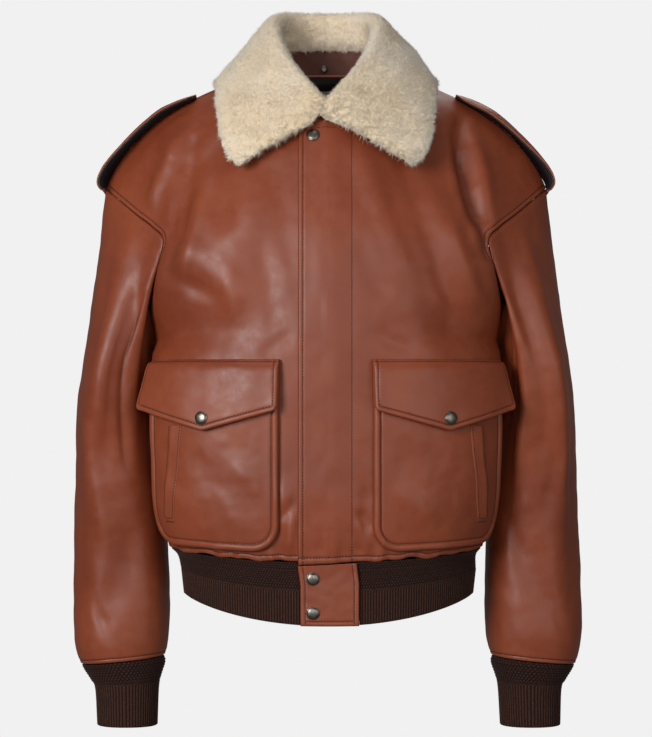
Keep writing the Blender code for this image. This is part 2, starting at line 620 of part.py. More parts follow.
def ribbed_wall(name, section, rows, first_rib_row, columns, ribs, closed, material, start=0.0, end=1.0):
    """A knit wall. Its outer face has upright ribs from one row down, and its inside is plain."""
    verts, outer, inner = [], [], []

    def place(points):
        verts.extend(points)
        return list(range(len(verts) - len(points), len(verts)))

    for r in range(rows):
        steps = columns * (2 * ribs if r >= first_rib_row else 1)
        points, normals = section(np.linspace(start, end, steps + 1), r)
        if r >= first_rib_row:
            points = points + normals * (RIB_DEPTH * (np.arange(steps + 1) % 2))[:, None]
        outer.append(place(points[:-1] if closed else points))
        points, normals = section(np.linspace(start, end, columns + 1), r)
        points = points - normals * KNIT
        inner.append(place(points[:-1] if closed else points))
    loop = outer + inner[::-1] + outer[:1]
    faces = []
    for a, b in zip(loop, loop[1:]):
        faces += bridge(a, b, columns, closed)
    if not closed:
        for r in range(rows - 1):
            faces.append([inner[r][0], inner[r + 1][0], outer[r + 1][0], outer[r][0]])
            faces.append([outer[r][-1], outer[r + 1][-1], inner[r + 1][-1], inner[r][-1]])
    return add_object(name, verts, faces, material)


def make_hem_band(material):
    total = waist_section([0.0], WAIST_ROWS[0])[2]

    def section(at, r):
        points, outward, _ = waist_section(at, WAIST_ROWS[r])
        return points, outward

    ribs = round(total / WAIST_COLUMNS / RIB_PITCH)
    ribbed_wall("hem_band", section, len(WAIST_ROWS), 2, WAIST_COLUMNS, ribs, False, material,
                (TAB_RIGHT + 0.4) / total, 1 - (-TAB_LEFT - WAIST_LAP) / total)


def fly_drop(x):
    """The fly's lower edge and the tab's upper edge slope down to the folded edge."""
    return 3.5 * np.clip((TAB_RIGHT - x) / (TAB_RIGHT - TAB_LEFT), 0, 1)


def make_hem_tab(material):
    x = np.linspace(TAB_LEFT, TAB_RIGHT, 9)
    total = waist_section([0.0], WAIST_ROWS[0])[2]
    shares = np.where(x < 0, 1 + x / total, x / total)
    rows = []
    table = np.array(WAIST_ROWS)
    for f in (1, 0.9, 0.6, 0.3, 0):
        drop = TAB_DROP * f + TAB_GAP * (1 - f)
        inset = np.interp(drop, table[:, 0], table[:, 3])
        points, _, _ = waist_section(shares, (drop, drop, drop, inset, inset, inset))
        points = points - np.array([0, RIB_DEPTH + 0.7, 0])
        points[:, 2] -= fly_drop(x) * (1 - f)
        rows.append(points)
    base = np.array(rows)
    return wall("hem_tab", base + np.array([0, -3.0, 0]), base, material)


def make_cuff(side, material):
    last = curve_through(SLEEVE_RINGS, [len(SLEEVE_RINGS) - 1])[0]
    table = np.vstack([last + np.array([-0.5, 0.2, -0.2, 0, -0.2, 0]), CUFF_RINGS])
    sign = 1 if side == "left" else -1

    def section(at, r):
        angles = at * 360 * -sign
        points = swing(side, ring(table[r], angles))
        centre = np.array([(table[r][1] + table[r][2]) / 2, table[r][3], table[r][0]])
        outward = unit((points - swing(side, centre)) * (1, 1, 0))
        flip = np.array([sign, 1, 1])
        return points * flip, outward * flip

    girth = math.pi * (CUFF_RINGS[-1][2] - CUFF_RINGS[-1][1])
    ribs = round(girth / CUFF_COLUMNS / RIB_PITCH)
    ribbed_wall("cuff_" + side, section, len(table), 4, CUFF_COLUMNS, ribs, True, material)


COLLAR_DROP = (2.0, -19.0, -22.0)     # the collar's ends turn down from the roll in this direction
COLLAR_LEAN = 7.0         # the left leaf stands out by this much more
COLLAR_LEAN_Z = 38.0       # most of it at this height
COLLAR_LEAN_X = 76.0       # none of it inside this
COLLAR_LEAN_REACH = 24.0
COLLAR_AT = np.concatenate([np.linspace(0, 3, 5), np.linspace(3, 9, 11)[1:]])


def collar_hide():
    """The collar's hide as rows of sections, from the centre back to the left front end."""
    c = curve_through(COLLAR_STATIONS, COLLAR_AT)
    foot, roll, edge = c[:, 0], c[:, 1], c[:, 2]
    over = unit((edge - foot) * (1, 1, 0.25))
    near = np.linspace(1, 0.25, len(c))[:, None]
    up = bezier(foot, foot + (roll - foot) * 0.5, roll - over * 7 * near, roll, np.linspace(0, 1, 5))
    fall = unit(edge - roll)
    length = np.linalg.norm(edge - roll, axis=1)[:, None]
    at_end = np.interp(COLLAR_AT, [8, 9], [0, 1])[:, None]
    lead = over * 13 * near * (1 - at_end) + np.array(COLLAR_DROP) * at_end
    down = bezier(roll, roll + lead, edge - fall * length * 0.4, edge, np.linspace(0, 1, 8))
    return np.concatenate([up, down[:, 1:]], axis=1)


def both_sides(left):
    return np.concatenate([mirror_x(left)[::-1], left[1:]])


def leant(points):
    """The collar's left leaf stands further out than the right one where it comes over its roll."""
    share = np.clip((points[..., 0] - COLLAR_LEAN_X) / COLLAR_LEAN_REACH, 0, 1)
    height = (points[..., 2] - COLLAR_LEAN_Z) / COLLAR_LEAN_REACH
    out = points.copy()
    out[..., 0] += COLLAR_LEAN * share * np.exp(-height**2)
    return out


def make_collar(fur, under, stand_leather):
    hide = collar_hide()
    normals = -grid_normals(hide)
    normals[0] *= (0, 1, 1)
    normals = unit(normals)
    columns = hide.shape[1]
    pile = np.interp(np.arange(columns), [0, 1, 4, columns - 2, columns - 1], [5, 8.5, FUR, FUR, 7.0])
    ends = np.ones(len(hide))
    ends[-2:] = (0.92, 0.6)
    outer = hide + normals * pile[None, :, None] * ends[:, None, None]
    outer[:, -1] += unit(hide[:, -1] - hide[:, -2]) * 6.0
    outer[-1] += unit(hide[-1] - hide[-2]) * 6.5
    centre = np.arange(len(hide))[:, None] == 0
    outer[..., 0] = np.maximum(outer[..., 0], np.where(centre, 0, COLLAR_MEET))
    wall("collar", leant(both_sides(outer)), leant(both_sides(hide)), fur, flip=True)
    leaf = [6, 8, 10, columns - 1]
    top = hide[:, leaf] - normals[:, leaf] * 1.3
    top[:, -1] -= unit(hide[:, -1] - hide[:, -2]) * 1.5
    low = top - normals[:, leaf] * 1.2
    wall("under_collar", leant(both_sides(top)), leant(both_sides(low)), under, flip=True)
    feet = curve_through(STAND_FEET, COLLAR_AT)
    upper = hide[:, :2] - normals[:, :2] * 0.7
    middle = feet * 0.45 + upper[:, 0] * 0.55
    front = np.concatenate([feet[:, None], middle[:, None], upper], axis=1)
    face = -grid_normals(front)
    face[0] *= (0, 1, 1)
    face = unit(face)
    back = front - face * 1.5
    return wall("collar_stand", both_sides(front), both_sides(back), stand_leather, flip=True)


def make_neck_lining(back, black, beige):
    """The lining strip inside the back neck and the bare label on it."""
    tree = tree_of(back)

    def inside(x, z, off):
        hit = tree.ray_cast(Vector((x, 0, z)), Vector((0, 1, 0)), 200)[0]
        return (hit.x, hit.y - off, hit.z)

    across = np.linspace(-46, 46, 11)
    down = (-4.5, -12, -26, -42)
    face = np.array([[inside(x, z, 2.0) for x in across] for z in down[::-1]])
    rear = face + np.array([0, 1.2, 0])
    wall("neck_lining", face, rear, black)
    across = np.linspace(-12, 12, 4)
    face = np.array([[inside(x, z, 3.3) for x in across] for z in (-40, -30, -20, -12)])
    wall("label", face, face + np.array([0, 0.8, 0]), beige)


def make_strap(side, top_leather, under_leather):
    path = curve_through(STRAP_PATH, np.linspace(0, 10, 12))
    centre = np.stack([path[:, 0], 0 * path[:, 0], path[:, 1]], axis=1)
    along = unit(np.gradient(centre, axis=0))
    outward = np.stack([along[:, 2], 0 * along[:, 0], -along[:, 0]], axis=1)
    v = np.linspace(-1, 1, 5)
    front, rear = (path[:, k if side == "right" else k + 1, None] for k in (3, 5))
    bow = np.where(v > 0, rear, front) * v**2
    top = centre[:, None] - bow[..., None] * np.array([0.6, 0.0, 0.8])
    top[..., 1] = path[:, 2, None] * v
    out = outward[:, None] + np.zeros_like(top)
    if side == "right":
        top, out = mirror_x(top), mirror_x(out)
    flip = side == "right"
    first = top - out * STRAP
    second = first - out * 0.3
    wall("epaulette_" + side, top, first, top_leather, flip=flip)
    wall("epaulette_under_" + side, second, second - out * 1.1, under_leather, flip=flip)


def material_of(name, color, roughness, metallic=0.0):
    material = bpy.data.materials.new(name)
    material.use_nodes = True
    shader = material.node_tree.nodes["Principled BSDF"]
    shader.inputs["Base Color"].default_value = (*color, 1.0)
    shader.inputs["Roughness"].default_value = roughness
    shader.inputs["Metallic"].default_value = metallic
    return material


def on_flat(side, across, height, under):
    grid, normals = on_front(side, [[across - 3, across, across + 3]] * 3,
                             [[height - 3] * 3, [height] * 3, [height + 3] * 3], under)
    return grid[1, 1], normals[1, 1]


for old in list(bpy.data.objects):
    bpy.data.objects.remove(old)
JACKET = bpy.data.collections.new("bomber_jacket")
bpy.context.scene.collection.children.link(JACKET)
tan = material_of("tan_leather", (0.24, 0.065, 0.03), 0.42)
dark = material_of("dark_leather", (0.03, 0.02, 0.02), 0.6)
knit = material_of("brown_knit", (0.035, 0.014, 0.012), 0.9)
fleece = material_of("cream_shearling", (0.72, 0.55, 0.36), 0.95)
black = material_of("black_lining", (0.012, 0.012, 0.013), 0.8)
beige = material_of("beige_label", (0.6, 0.52, 0.42), 0.8)
steel = material_of("snap_metal", (0.3, 0.28, 0.25), 0.35, 1.0)

front_right = make_front_right(tan)
front_left = make_front_left(tan)
rear = make_back(tan)
make_sleeve("left", tan)
make_sleeve("right", tan)
make_hem_band(knit)
tab = make_hem_tab(tan)
make_cuff("left", knit)
make_cuff("right", knit)
stand = make_collar(fleece, dark, tan)
make_neck_lining(rear, black, beige)
for side, front in (("left", front_left), ("right", front_right)):
    pocket = make_pocket(side, front, tan)
    flap = make_flap(side, front, tan)
    make_welt(side, [pocket], tan)
    make_strap(side, tan, dark)
    centre, normal = on_flat(side, (FLAP["inner"] + FLAP["outer"]) / 2, FLAP["point"] + 14, [flap])
    snap("snap_pocket_" + side, centre + normal * 0.4, normal, SNAP_RADIUS, steel)
for name, x, start, z, radius, target in (("snap_neck", -14.6, -200, -78.0, SNAP_RADIUS, front_left),
                                          ("snap_hem_upper", -14.5, -200, -575.5, SNAP_RADIUS, tab),
                                          ("snap_hem_lower", -14.5, -200, -614.0, SNAP_RADIUS, tab),
                                          ("snap_stand", -1.9, 40, 13.7, 4.6, stand)):
    point, normal, _, _ = tree_of(target).ray_cast(Vector((x, start, z)), Vector((0, 1, 0)), 200)
    snap(name, point + normal * (0.4 if radius > 5 else 0.9), normal, radius, steel)
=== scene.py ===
"""Leather bomber jacket with a shearling collar, dressed over its CAD frame.

Tables are in millimetres and the scene is in metres. +Z is up, the front faces -Y and the wearer's
left side is at +X. Surfaces follow the same tables and formulas as the CAD solids they replace.
"""

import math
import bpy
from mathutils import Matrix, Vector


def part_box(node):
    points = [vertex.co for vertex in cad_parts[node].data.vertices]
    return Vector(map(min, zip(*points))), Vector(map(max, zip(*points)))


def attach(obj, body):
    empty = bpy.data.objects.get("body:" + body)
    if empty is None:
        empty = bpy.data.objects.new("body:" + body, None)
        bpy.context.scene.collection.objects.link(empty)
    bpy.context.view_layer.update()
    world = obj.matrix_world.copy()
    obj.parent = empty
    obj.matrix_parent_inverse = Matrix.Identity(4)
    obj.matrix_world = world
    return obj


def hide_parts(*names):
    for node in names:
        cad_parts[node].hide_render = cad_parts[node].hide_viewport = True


bl_info = {
    "name": "Leather bomber jacket",
    "version": (1, 0, 0),
    "blender": (4, 5, 0),
    "location": "3D View > Sidebar > Jacket",
    "description": "Builds a hollow leather bomber jacket with a shearling collar, piece by piece",
    "category": "Add Mesh",
}

import bmesh
import bpy
import numpy as np
from bpy.props import FloatProperty, FloatVectorProperty, IntProperty, PointerProperty
from mathutils import Vector, noise
from mathutils.bvhtree import BVHTree

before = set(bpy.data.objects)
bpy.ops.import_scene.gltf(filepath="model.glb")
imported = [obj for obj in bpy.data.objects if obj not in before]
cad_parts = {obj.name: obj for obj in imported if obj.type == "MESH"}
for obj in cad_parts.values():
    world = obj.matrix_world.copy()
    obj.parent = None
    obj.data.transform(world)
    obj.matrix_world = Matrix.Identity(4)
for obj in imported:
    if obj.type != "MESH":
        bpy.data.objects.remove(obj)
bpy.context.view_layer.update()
MM = 0.001

# ---------------------------------------------------------------- sizes shared with the CAD solids
LEATHER = 1.8             # body and sleeve leather with its backing
KNIT = 2.4                # ribbed waistband and cuffs
SEAM_GAP = 0.3
FLY_EDGE = -31.0          # folded edge of the front fly, across from the centre front
FLY_RISE = 2.6
UNDERLAP = 3.0
TAB_LEFT, TAB_RIGHT = -32.0, 34.6
TAB_DROP, TAB_GAP = 72.0, 1.3
SNAP_RADIUS = 7.5
RIB_PITCH = 3.2
RIB_DEPTH = 0.9
LAYER = 2.0
STRAP = 1.4
FUR = 10.0
COLLAR_MEET = 0.6
UNDERARM_ROW, PIT_ROW, NAPE_ROW, SHOULDER_ROW = 6, 11, 12, 14
ARMHOLE_ROWS = SHOULDER_ROW - UNDERARM_ROW

FRONT_ROWS = [
    # inner (x, y, z)     lead_in           lead_out          outer (x, y, z)
    ((0, -128, -557), (112, 0, 0), (0, -62, 0), (178, -22, -546)),
    ((0, -134, -530), (118, 0, 0), (2, -66, 0), (188, -26, -522)),
    ((0, -138, -490), (122, 0, 0), (4, -66, 0), (196, -30, -486)),
    ((0, -140, -435), (126, 0, 0), (4, -68, 0), (199, -32, -434)),
    ((0, -141, -380), (128, 0, 0), (4, -72, 0), (202, -28, -380)),
    ((0, -142, -330), (128, 0, 0), (10, -80, 0), (200, -14, -332)),
    ((0, -142, -290), (124, 0, -2), (7, -72, 0), (197, -4, -309)),
    ((0, -141, -245), (118, 0, -4), (5, -50, 4), (200, -44, -272)),
    ((0, -136, -195), (108, 0, -6), (4, -36, 8), (192, -74, -232)),
    ((0, -126, -145), (96, 0, -8), (-18, -28, 14), (184, -84, -196)),
    ((0, -111, -92), (84, 0, -6), (-34, -26, 26), (198, -69, -179)),
    ((0, -98, -61), (74, 3, -6), (-42, -22, 40), (216, -51, -165)),
    ((38, -86, -46), (60, 0, -12), (-44, -14, 52), (234, -30, -150)),
    ((66, -52, -22), (58, -2, -18), (-38, -6, 62), (247, -13, -139)),
    ((80, 0, 0), (70, 0, -20), (-27, 0, 74), (255, 0, -132)),
]
BACK_ROWS = [
    # inner (x, y, z)     lead_in           lead_out          outer (x, y, z)
    ((0, 120, -545), (100, 0, 0), (-8, 72, 0), (178, -22, -546)),
    ((0, 127, -520), (104, 0, 0), (-12, 76, 0), (188, -26, -522)),
    ((0, 130, -484), (104, 0, 0), (-14, 80, 0), (196, -30, -486)),
    ((0, 131, -432), (106, 0, 0), (-14, 84, 0), (199, -32, -434)),
    ((0, 131, -380), (112, 0, 0), (-10, 82, 0), (202, -28, -380)),
    ((0, 132, -330), (118, 0, 0), (-10, 84, 0), (200, -14, -332)),
    ((0, 134, -285), (118, 0, -2), (-10, 66, 0), (197, -4, -309)),
    ((0, 136, -235), (114, 0, -4), (6, 46, 4), (203, 44, -276)),
    ((0, 135, -185), (106, 0, -6), (0, 34, 8), (197, 78, -236)),
    ((0, 130, -135), (96, 0, -8), (-18, 26, 14), (193, 90, -198)),
    ((0, 119, -90), (84, 0, -8), (-34, 24, 26), (205, 76, -178)),
    ((0, 103, -48), (74, 2, -6), (-42, 20, 40), (220, 56, -163)),
    ((0, 76, -2), (66, 2, 0), (-44, 14, 52), (236, 34, -149)),
    ((50, 62, -3), (62, 4, -8), (-38, 6, 62), (248, 15, -138)),
    ((80, 0, 0), (70, 0, -20), (-27, 0, 74), (255, 0, -132)),
]
# Soft folds of the fronts that the solids have, seen from the front.
FRONT_FOLDS = [
    # side   from (x, z)     to (x, z)     half width  depth
    ("left", (140, -62), (178, -205), 13, -9.0),
    ("left", (168, -80), (192, -196), 12, 5.0),
    ("left", (60, -110), (176, -262), 22, -4.0),
    ("left", (88, -118), (196, -318), 20, 4.0),
    ("left", (40, -190), (120, -330), 26, 3.0),
    ("right", (172, -66), (196, -190), 14, 5.0),
    ("right", (150, -110), (180, -232), 11, -5.0),
    ("right", (134, -130), (166, -250), 12, 4.0),
    ("right", (166, -200), (96, -262), 20, 3.5),
    ("right", (60, -120), (30, -290), 26, -3.0),
    ("right", (48, -470), (36, -545), 9, 3.5),
    ("left", (46, -470), (40, -550), 8, -2.5),
]
SLEEVE_RINGS = [
    # z     inner x  outer x  mid y  half depth  inner side is higher by
    (-334, 202, 282, 6, 78, 0),
    (-383, 204, 289.5, 12, 76, 0),
    (-440, 199, 291.5, 20, 70, 0),
    (-493, 191, 293, 24, 65, 0),
    (-549, 184, 294, 24, 60, 0),
    (-600, 182, 294, 22, 57, 1),
    (-642, 182, 293.5, 20, 54, 3),
    (-665, 184, 290.5, 19, 50, 4),
    (-679, 189, 283.5, 18, 45, 5),
]
CAP_HOLLOW = 1.0          # the cap dips this much inwards below the shoulder point
CAP_FULL = 4.5            # and swells this much outwards beside the underarm
SLEEVE_FOLDS = [
    # angle at top, at bottom, from z, to z, half width in degrees, depth
    (64, 52, -170, -520, 13, 4.5),
    (92, 84, -215, -470, 13, -5.0),
    (30, 40, -330, -640, 16, -2.5),
    (112, 74, -500, -650, 16, -3.5),
    (200, 214, -360, -620, 18, -3.0),
    (262, 250, -190, -500, 15, 4.0),
    (290, 285, -240, -560, 16, -4.0),
]
CUFF_RINGS = [
    # z     inner x  outer x  mid y  half depth  inner side is higher by
    (-686, 187.5, 281, 18, 44.5, 4),
    (-700, 192, 272.5, 17, 41, 3),
    (-712, 195, 267.5, 16, 38.5, 1),
    (-754, 196.5, 265, 15, 36.5, 0),
]
SLEEVE_SWING = {"left": 7.0, "right": 0.5}
WAIST_ROWS = [
    # drop from the leather at front, side, back   inset at front, side, back
    (0.5, 0.5, 0.5, 0.3, 0.3, 0.3),
    (11, 9, 9, 1.5, 7, 3),
    (33, 25, 27, 2.0, 9, 6),
    (71, 52, 55, 3.5, 12, 9),
]
WAIST_SHIFT = 3.0
WAIST_LAP = 8.0
COLLAR_STATIONS = [
    # foot (x, y, z)     roll (x, y, z)    edge (x, y, z)
    ((0, 76, 36), (0, 85, 71), (0, 128, -8)),
    ((26, 73, 35), (29, 80, 71), (44, 126, -8)),
    ((48, 60, 34), (51, 62, 69), (84, 108, -8)),
    ((61, 38, 31), (60, 37, 62), (111, 68, -7)),
    ((68, 14, 26), (62, 10, 50), (120, 26, -5)),
    ((66, -16, 12), (58, -16, 33), (122, -20, -16)),
    ((57, -42, -6), (49, -42, 12), (119, -64, -46)),
    ((41, -64, -25), (34, -64, -10), (116, -94, -77)),
    ((21, -81, -43), (18, -82, -29), (108, -112, -101)),
    ((4, -90, -54), (4, -94, -44), (97, -119, -111)),
]
COLLAR_DROP = (2.0, -19.0, -22.0)
COLLAR_LEAN = 7.0         # the left leaf stands out by this much more
COLLAR_LEAN_Z = 38.0      # most of it at this height
COLLAR_LEAN_X = 76.0      # none of it inside this
COLLAR_LEAN_REACH = 24.0
STAND_FEET = [
    # x     y     z
    (0, 72.2, 0.6), (26, 68.6, 0.1), (48, 59.1, 0.1), (66, 38.4, 0.8), (76.5, 8, 1.2), (73.5, -21, -7),
    (63, -48, -22), (46, -70, -37), (25, -84, -51), (6, -91.5, -60),
]
POCKET = {"inner": 52, "outer": 218, "top": -336, "bottom": -546, "corner": 30, "clear": 2.2}
FLAP = {"inner": 51, "outer": 219, "top": -330, "side": -386, "point": -410, "rise": 9.0, "lift": 8.0}
WELT = {"top_inner": 164, "top_outer": 179, "top": -404, "bottom_inner": 178, "bottom_outer": 192,
        "bottom": -518}
STRAP_PATH = [
    # x      z      half width  its long edges lie lower by: front right, front left, rear right, rear left
    (256.9, -133.7, 24.5, 3, 4, 12, 11),
    (262.0, -131.4, 25, 3, 3.5, 14.5, 11),
    (265.5, -124, 25, 3, 3, 15, 10),
    (262.5, -113, 25, 3, 3, 14, 10),
    (253, -98, 24.5, 3, 4, 12, 11),
    (236, -78.5, 24, 3.5, 5.5, 10, 10),
    (215, -57.5, 23, 3.5, 6.5, 9, 9),
    (194, -40.5, 22, 3.5, 7, 8, 8),
    (174, -30.6, 21, 3, 6.5, 7, 7),
    (160, -25.6, 17, 2, 4, 4, 4),
    (151, -23.0, 4, 0.5, 0.5, 1, 1),
]

# ---------------------------------------------------------------- finer creases
CREASES = [
    # panel, from (x, z), to (x, z), half width, depth: seen from outside, x towards the armhole
    ("front_left", (134, -60), (154, -150), 9, 6.0),
    ("front_left", (154, -150), (173, -204), 8, 5.0),
    ("front_left", (155, -50), (157, -92), 8, -8.0),
    ("front_left", (157, -92), (165, -130), 9, -12.0),
    ("front_left", (165, -130), (179, -174), 8, -12.0),
    ("front_left", (179, -174), (190, -216), 7, -8.0),
    ("front_left", (36, -92), (60, -160), 14, 3.6),
    ("front_left", (60, -160), (92, -240), 13, 3.4),
    ("front_left", (84, -98), (124, -208), 13, -4.2),
    ("front_left", (124, -208), (146, -296), 13, -3.4),
    ("front_left", (140, -178), (172, -262), 10, 3.0),
    ("front_left", (36, -196), (64, -262), 12, -2.6),
    ("front_left", (120, -255), (160, -300), 8, 2.0),
    ("front_left", (52, -300), (96, -322), 9, -1.8),
    ("front_left", (38, -500), (50, -520), 5, -2.6),
    ("front_left", (36, -515), (46, -545), 5, 2.2),
    ("front_left", (60, -556), (130, -552), 3, -1.3),
    ("front_right", (150, -62), (176, -98), 8, 3.6),
    ("front_right", (176, -98), (200, -150), 7, 4.4),
    ("front_right", (148, -74), (160, -120), 10, -3.6),
    ("front_right", (160, -120), (172, -190), 8, -4.6),
    ("front_right", (182, -106), (188, -178), 9, -3.6),
    ("front_right", (164, -126), (168, -192), 5, 4.2),
    ("front_right", (186, -196), (118, -224), 16, 1.0),
    ("front_right", (124, -220), (60, -140), 20, 2.2),
    ("front_right", (108, -226), (100, -290), 13, 3.0),
    ("front_right", (136, -88), (112, -176), 16, -4.4),
    ("front_right", (182, -232), (120, -262), 9, -2.8),
    ("front_right", (74, -200), (60, -290), 13, -2.8),
    ("front_right", (36, -488), (48, -508), 5, -2.6),
    ("front_right", (35, -500), (42, -540), 4, 2.2),
    ("front_right", (60, -554), (150, -548), 3, -1.3),
    ("front_right", (40, -300), (70, -325), 8, -1.8),
    ("back", (150, -110), (182, -215), 11, -5.0),
    ("back", (132, -130), (160, -250), 12, 3.5),
    ("back", (-152, -104), (-184, -222), 12, -4.5),
    ("back", (-130, -140), (-158, -245), 11, 3.0),
    ("back", (60, -470), (150, -500), 12, -2.5),
    ("back", (-40, -490), (-150, -476), 13, -2.8),
    ("back", (-30, -512), (90, -520), 9, 2.4),
    ("back", (-110, -330), (-186, -420), 20, 3.0),
    ("back", (100, -300), (188, -410), 22, 3.2),
    ("back", (20, -110), (90, -180), 24, 2.5),
]
SLEEVE_CREASES = [
    # side, angle at top, at bottom, from z, to z, half width in degrees, depth
    ("right", 80, 76, -215, -430, 13, 3.8),
    ("right", 103, 108, -250, -470, 10, -7.0),
    ("right", 126, 130, -240, -400, 7, 3.0),
    ("right", 148, 148, -225, -420, 9, -6.0),
    ("right", 50, 58, -220, -420, 10, -3.0),
    ("right", 62, 80, -430, -560, 13, 3.4),
    ("right", 92, 112, -520, -620, 11, -3.0),
    ("right", 56, 84, -590, -665, 8, -2.6),
    ("left", 112, 118, -260, -480, 9, 3.6),
    ("left", 132, 136, -230, -430, 9, -4.6),
    ("left", 150, 150, -225, -430, 9, -6.0),
    ("left", 80, 70, -210, -330, 12, 2.4),
    ("left", 60, 84, -400, -520, 12, -2.6),
    ("left", 126, 92, -500, -600, 9, -3.0),
    ("left", 76, 56, -590, -655, 8, -2.4),
    ("both", 182, 182, -235, -430, 18, 4.5),
    ("both", 330, 300, -300, -480, 10, -2.6),
    ("both", 306, 280, -320, -470, 9, 2.6),
    ("both", 230, 262, -440, -600, 9, 2.4),
    ("both", 250, 284, -470, -600, 8, -2.2),
]

FLOOR_Z = -0.9            # the floor lies below what the photograph shows
PAPER = "#F1F1F1"


# ---------------------------------------------------------------- formulas shared with the solids
def curve_through(rows, at):
    """Catmull-Rom values of a table at fractional row numbers."""
    rows = np.asarray(rows, float)
    at = np.clip(np.asarray(at, float), 0, len(rows) - 1)
    first = np.minimum(at.astype(int), len(rows) - 2)
    u = (at - first).reshape(-1, *[1] * (rows.ndim - 1))
    p1, p2 = rows[first], rows[first + 1]
    p0 = np.where((first == 0).reshape(u.shape), 2 * p1 - p2, rows[np.where(first > 0, first - 1, 0)])
    last = (first + 2 > len(rows) - 1).reshape(u.shape)
    p3 = np.where(last, 2 * p2 - p1, rows[np.minimum(first + 2, len(rows) - 1)])
    return 0.5 * (2 * p1 + (p2 - p0) * u + (2 * p0 - 5 * p1 + 4 * p2 - p3) * u**2
                  + (3 * p1 - p0 - 3 * p2 + p3) * u**3)


def bezier(a, b, c, d, s):
    s = s[None, :, None]
    a, b, c, d = (p[:, None, :] for p in (a, b, c, d))
    return a * (1 - s)**3 + 3 * b * s * (1 - s)**2 + 3 * c * s**2 * (1 - s) + d * s**3


def unit(v):
    return v / np.maximum(np.linalg.norm(v, axis=-1, keepdims=True), 1e-9)


def grid_normals(points, closed=False):
    if closed:
        across = np.roll(points, -1, 1) - np.roll(points, 1, 1)
    else:
        across = np.gradient(points, axis=1)
    return unit(np.cross(across, np.gradient(points, axis=0)))


def mirror_x(points):
    return points * np.array([-1.0, 1.0, 1.0])


def step(x):
    x = np.clip(x, 0, 1)
    return x * x * (3 - 2 * x)


def run_length(points):
    """Distance along each row of a grid, or along a line."""
    step_lengths = np.linalg.norm(np.diff(points, axis=-2), axis=-1).cumsum(-1)
    return np.concatenate([np.zeros(step_lengths.shape[:-1] + (1,)), step_lengths], axis=-1)


class Panel:
    """Half of the front or back, as rows of curves from its inner to its outer edge."""

    def __init__(self, table):
        rows = np.array(table, float)
        inner, outer = rows[:, 0], rows[:, 3]
        self.rows = np.stack([inner, inner + rows[:, 1], outer + rows[:, 2], outer], axis=1)
        self.dense = self.points(np.linspace(0, len(rows) - 1, 141), np.linspace(0, 1, 81))
        self.run = run_length(self.dense)

    def points(self, at, s):
        at = np.asarray(at, float)
        c = curve_through(self.rows, at)
        side, armhole = self.rows[:UNDERARM_ROW + 1, 3], self.rows[UNDERARM_ROW:, 3]
        c[:, 3] = np.where((at <= UNDERARM_ROW)[:, None], curve_through(side, at),
                           curve_through(armhole, at - UNDERARM_ROW))
        return bezier(c[:, 0], c[:, 1], c[:, 2], c[:, 3], s)

    def even(self, at, share):
        """Rows of points at these shares of each row's own length."""
        dense = self.points(at, np.linspace(0, 1, 241))
        run = run_length(dense)
        out = np.empty((len(dense), len(share), 3))
        for r, (line, d) in enumerate(zip(dense, run)):
            for k in range(3):
                out[r, :, k] = np.interp(np.asarray(share) * d[-1], d, line[:, k])
        return out

    def at(self, across, height):
        """Points at distances across from the centre line, on rows that have these heights there."""
        across, height = np.broadcast_arrays(across, height)
        shape, across, height = across.shape, across.ravel(), height.ravel()
        row = np.interp(height, self.dense[:, 0, 2], np.arange(len(self.dense)))
        low = np.minimum(row.astype(int), len(self.dense) - 2)
        out = np.empty((len(across), 3))
        for i, (a, r0, r) in enumerate(zip(across, low, row)):
            near, far = ([np.interp(a, self.run[q], self.dense[q, :, k]) for k in range(3)]
                         for q in (r0, r0 + 1))
            out[i] = np.array(near) * (r0 + 1 - r) + np.array(far) * (r - r0)
        return out.reshape(*shape, 3)


FRONT = Panel(FRONT_ROWS)
BACK = Panel(BACK_ROWS)


def crease_push(points, table):
    """How far creases push each point out, for rows of from (x, z), to (x, z), half width, depth."""
    flat = np.stack([points[..., 0], points[..., 2]], axis=-1)
    push = np.zeros(points.shape[:-1])
    for start, end, half_width, depth in table:
        a, b = np.array(start, float), np.array(end, float)
        along = (flat - a) @ (b - a) / ((b - a) @ (b - a))
        away = np.linalg.norm(flat - a - np.clip(along, 0, 1)[..., None] * (b - a), axis=-1)
        fade = np.clip(np.minimum(along + 0.25, 1.25 - along) / 0.5, 0, 1)
        push += depth * np.exp(-(away / half_width)**2) * step(fade)
    return push


def uneven(points, size, amount, seed=0.0):
    """Soft uneven swelling of hide: noise of one size in millimetres."""
    offset = Vector((seed, seed * 0.7, -seed))
    flat = points.reshape(-1, 3)
    out = np.array([noise.fractal(Vector(p) / size + offset, 0.6, 2.1, 3) for p in flat.tolist()])
    return (out * amount).reshape(points.shape[:-1])


def line_distance(points, line):
    """Shortest distance from each point to a line of points."""
    flat = points.reshape(-1, 3)
    best = np.full(len(flat), 1e9)
    for a, b in zip(line[:-1], line[1:]):
        ab = b - a
        t = np.clip((flat - a) @ ab / max(ab @ ab, 1e-9), 0, 1)
        best = np.minimum(best, np.linalg.norm(flat - a - t[:, None] * ab, axis=1))
    return best.reshape(points.shape[:-1])


def armhole_normals(points, rows_at):
    up = ((np.asarray(rows_at) - UNDERARM_ROW) / ARMHOLE_ROWS)[:, None]
    core = np.array([200.0, 0.0, -235.0]) * (1 - up) + np.array([150.0, 0.0, -170.0]) * up
    return unit(points - core)


def fly_rise(x):
    return FLY_RISE * step((30.0 - x) / 24.0)


def fly_drop(x):
    return 3.5 * np.clip((TAB_RIGHT - x) / (TAB_RIGHT - TAB_LEFT), 0, 1)


# ---------------------------------------------------------------- meshes
FAR = 50.0                # a seam distance with no effect


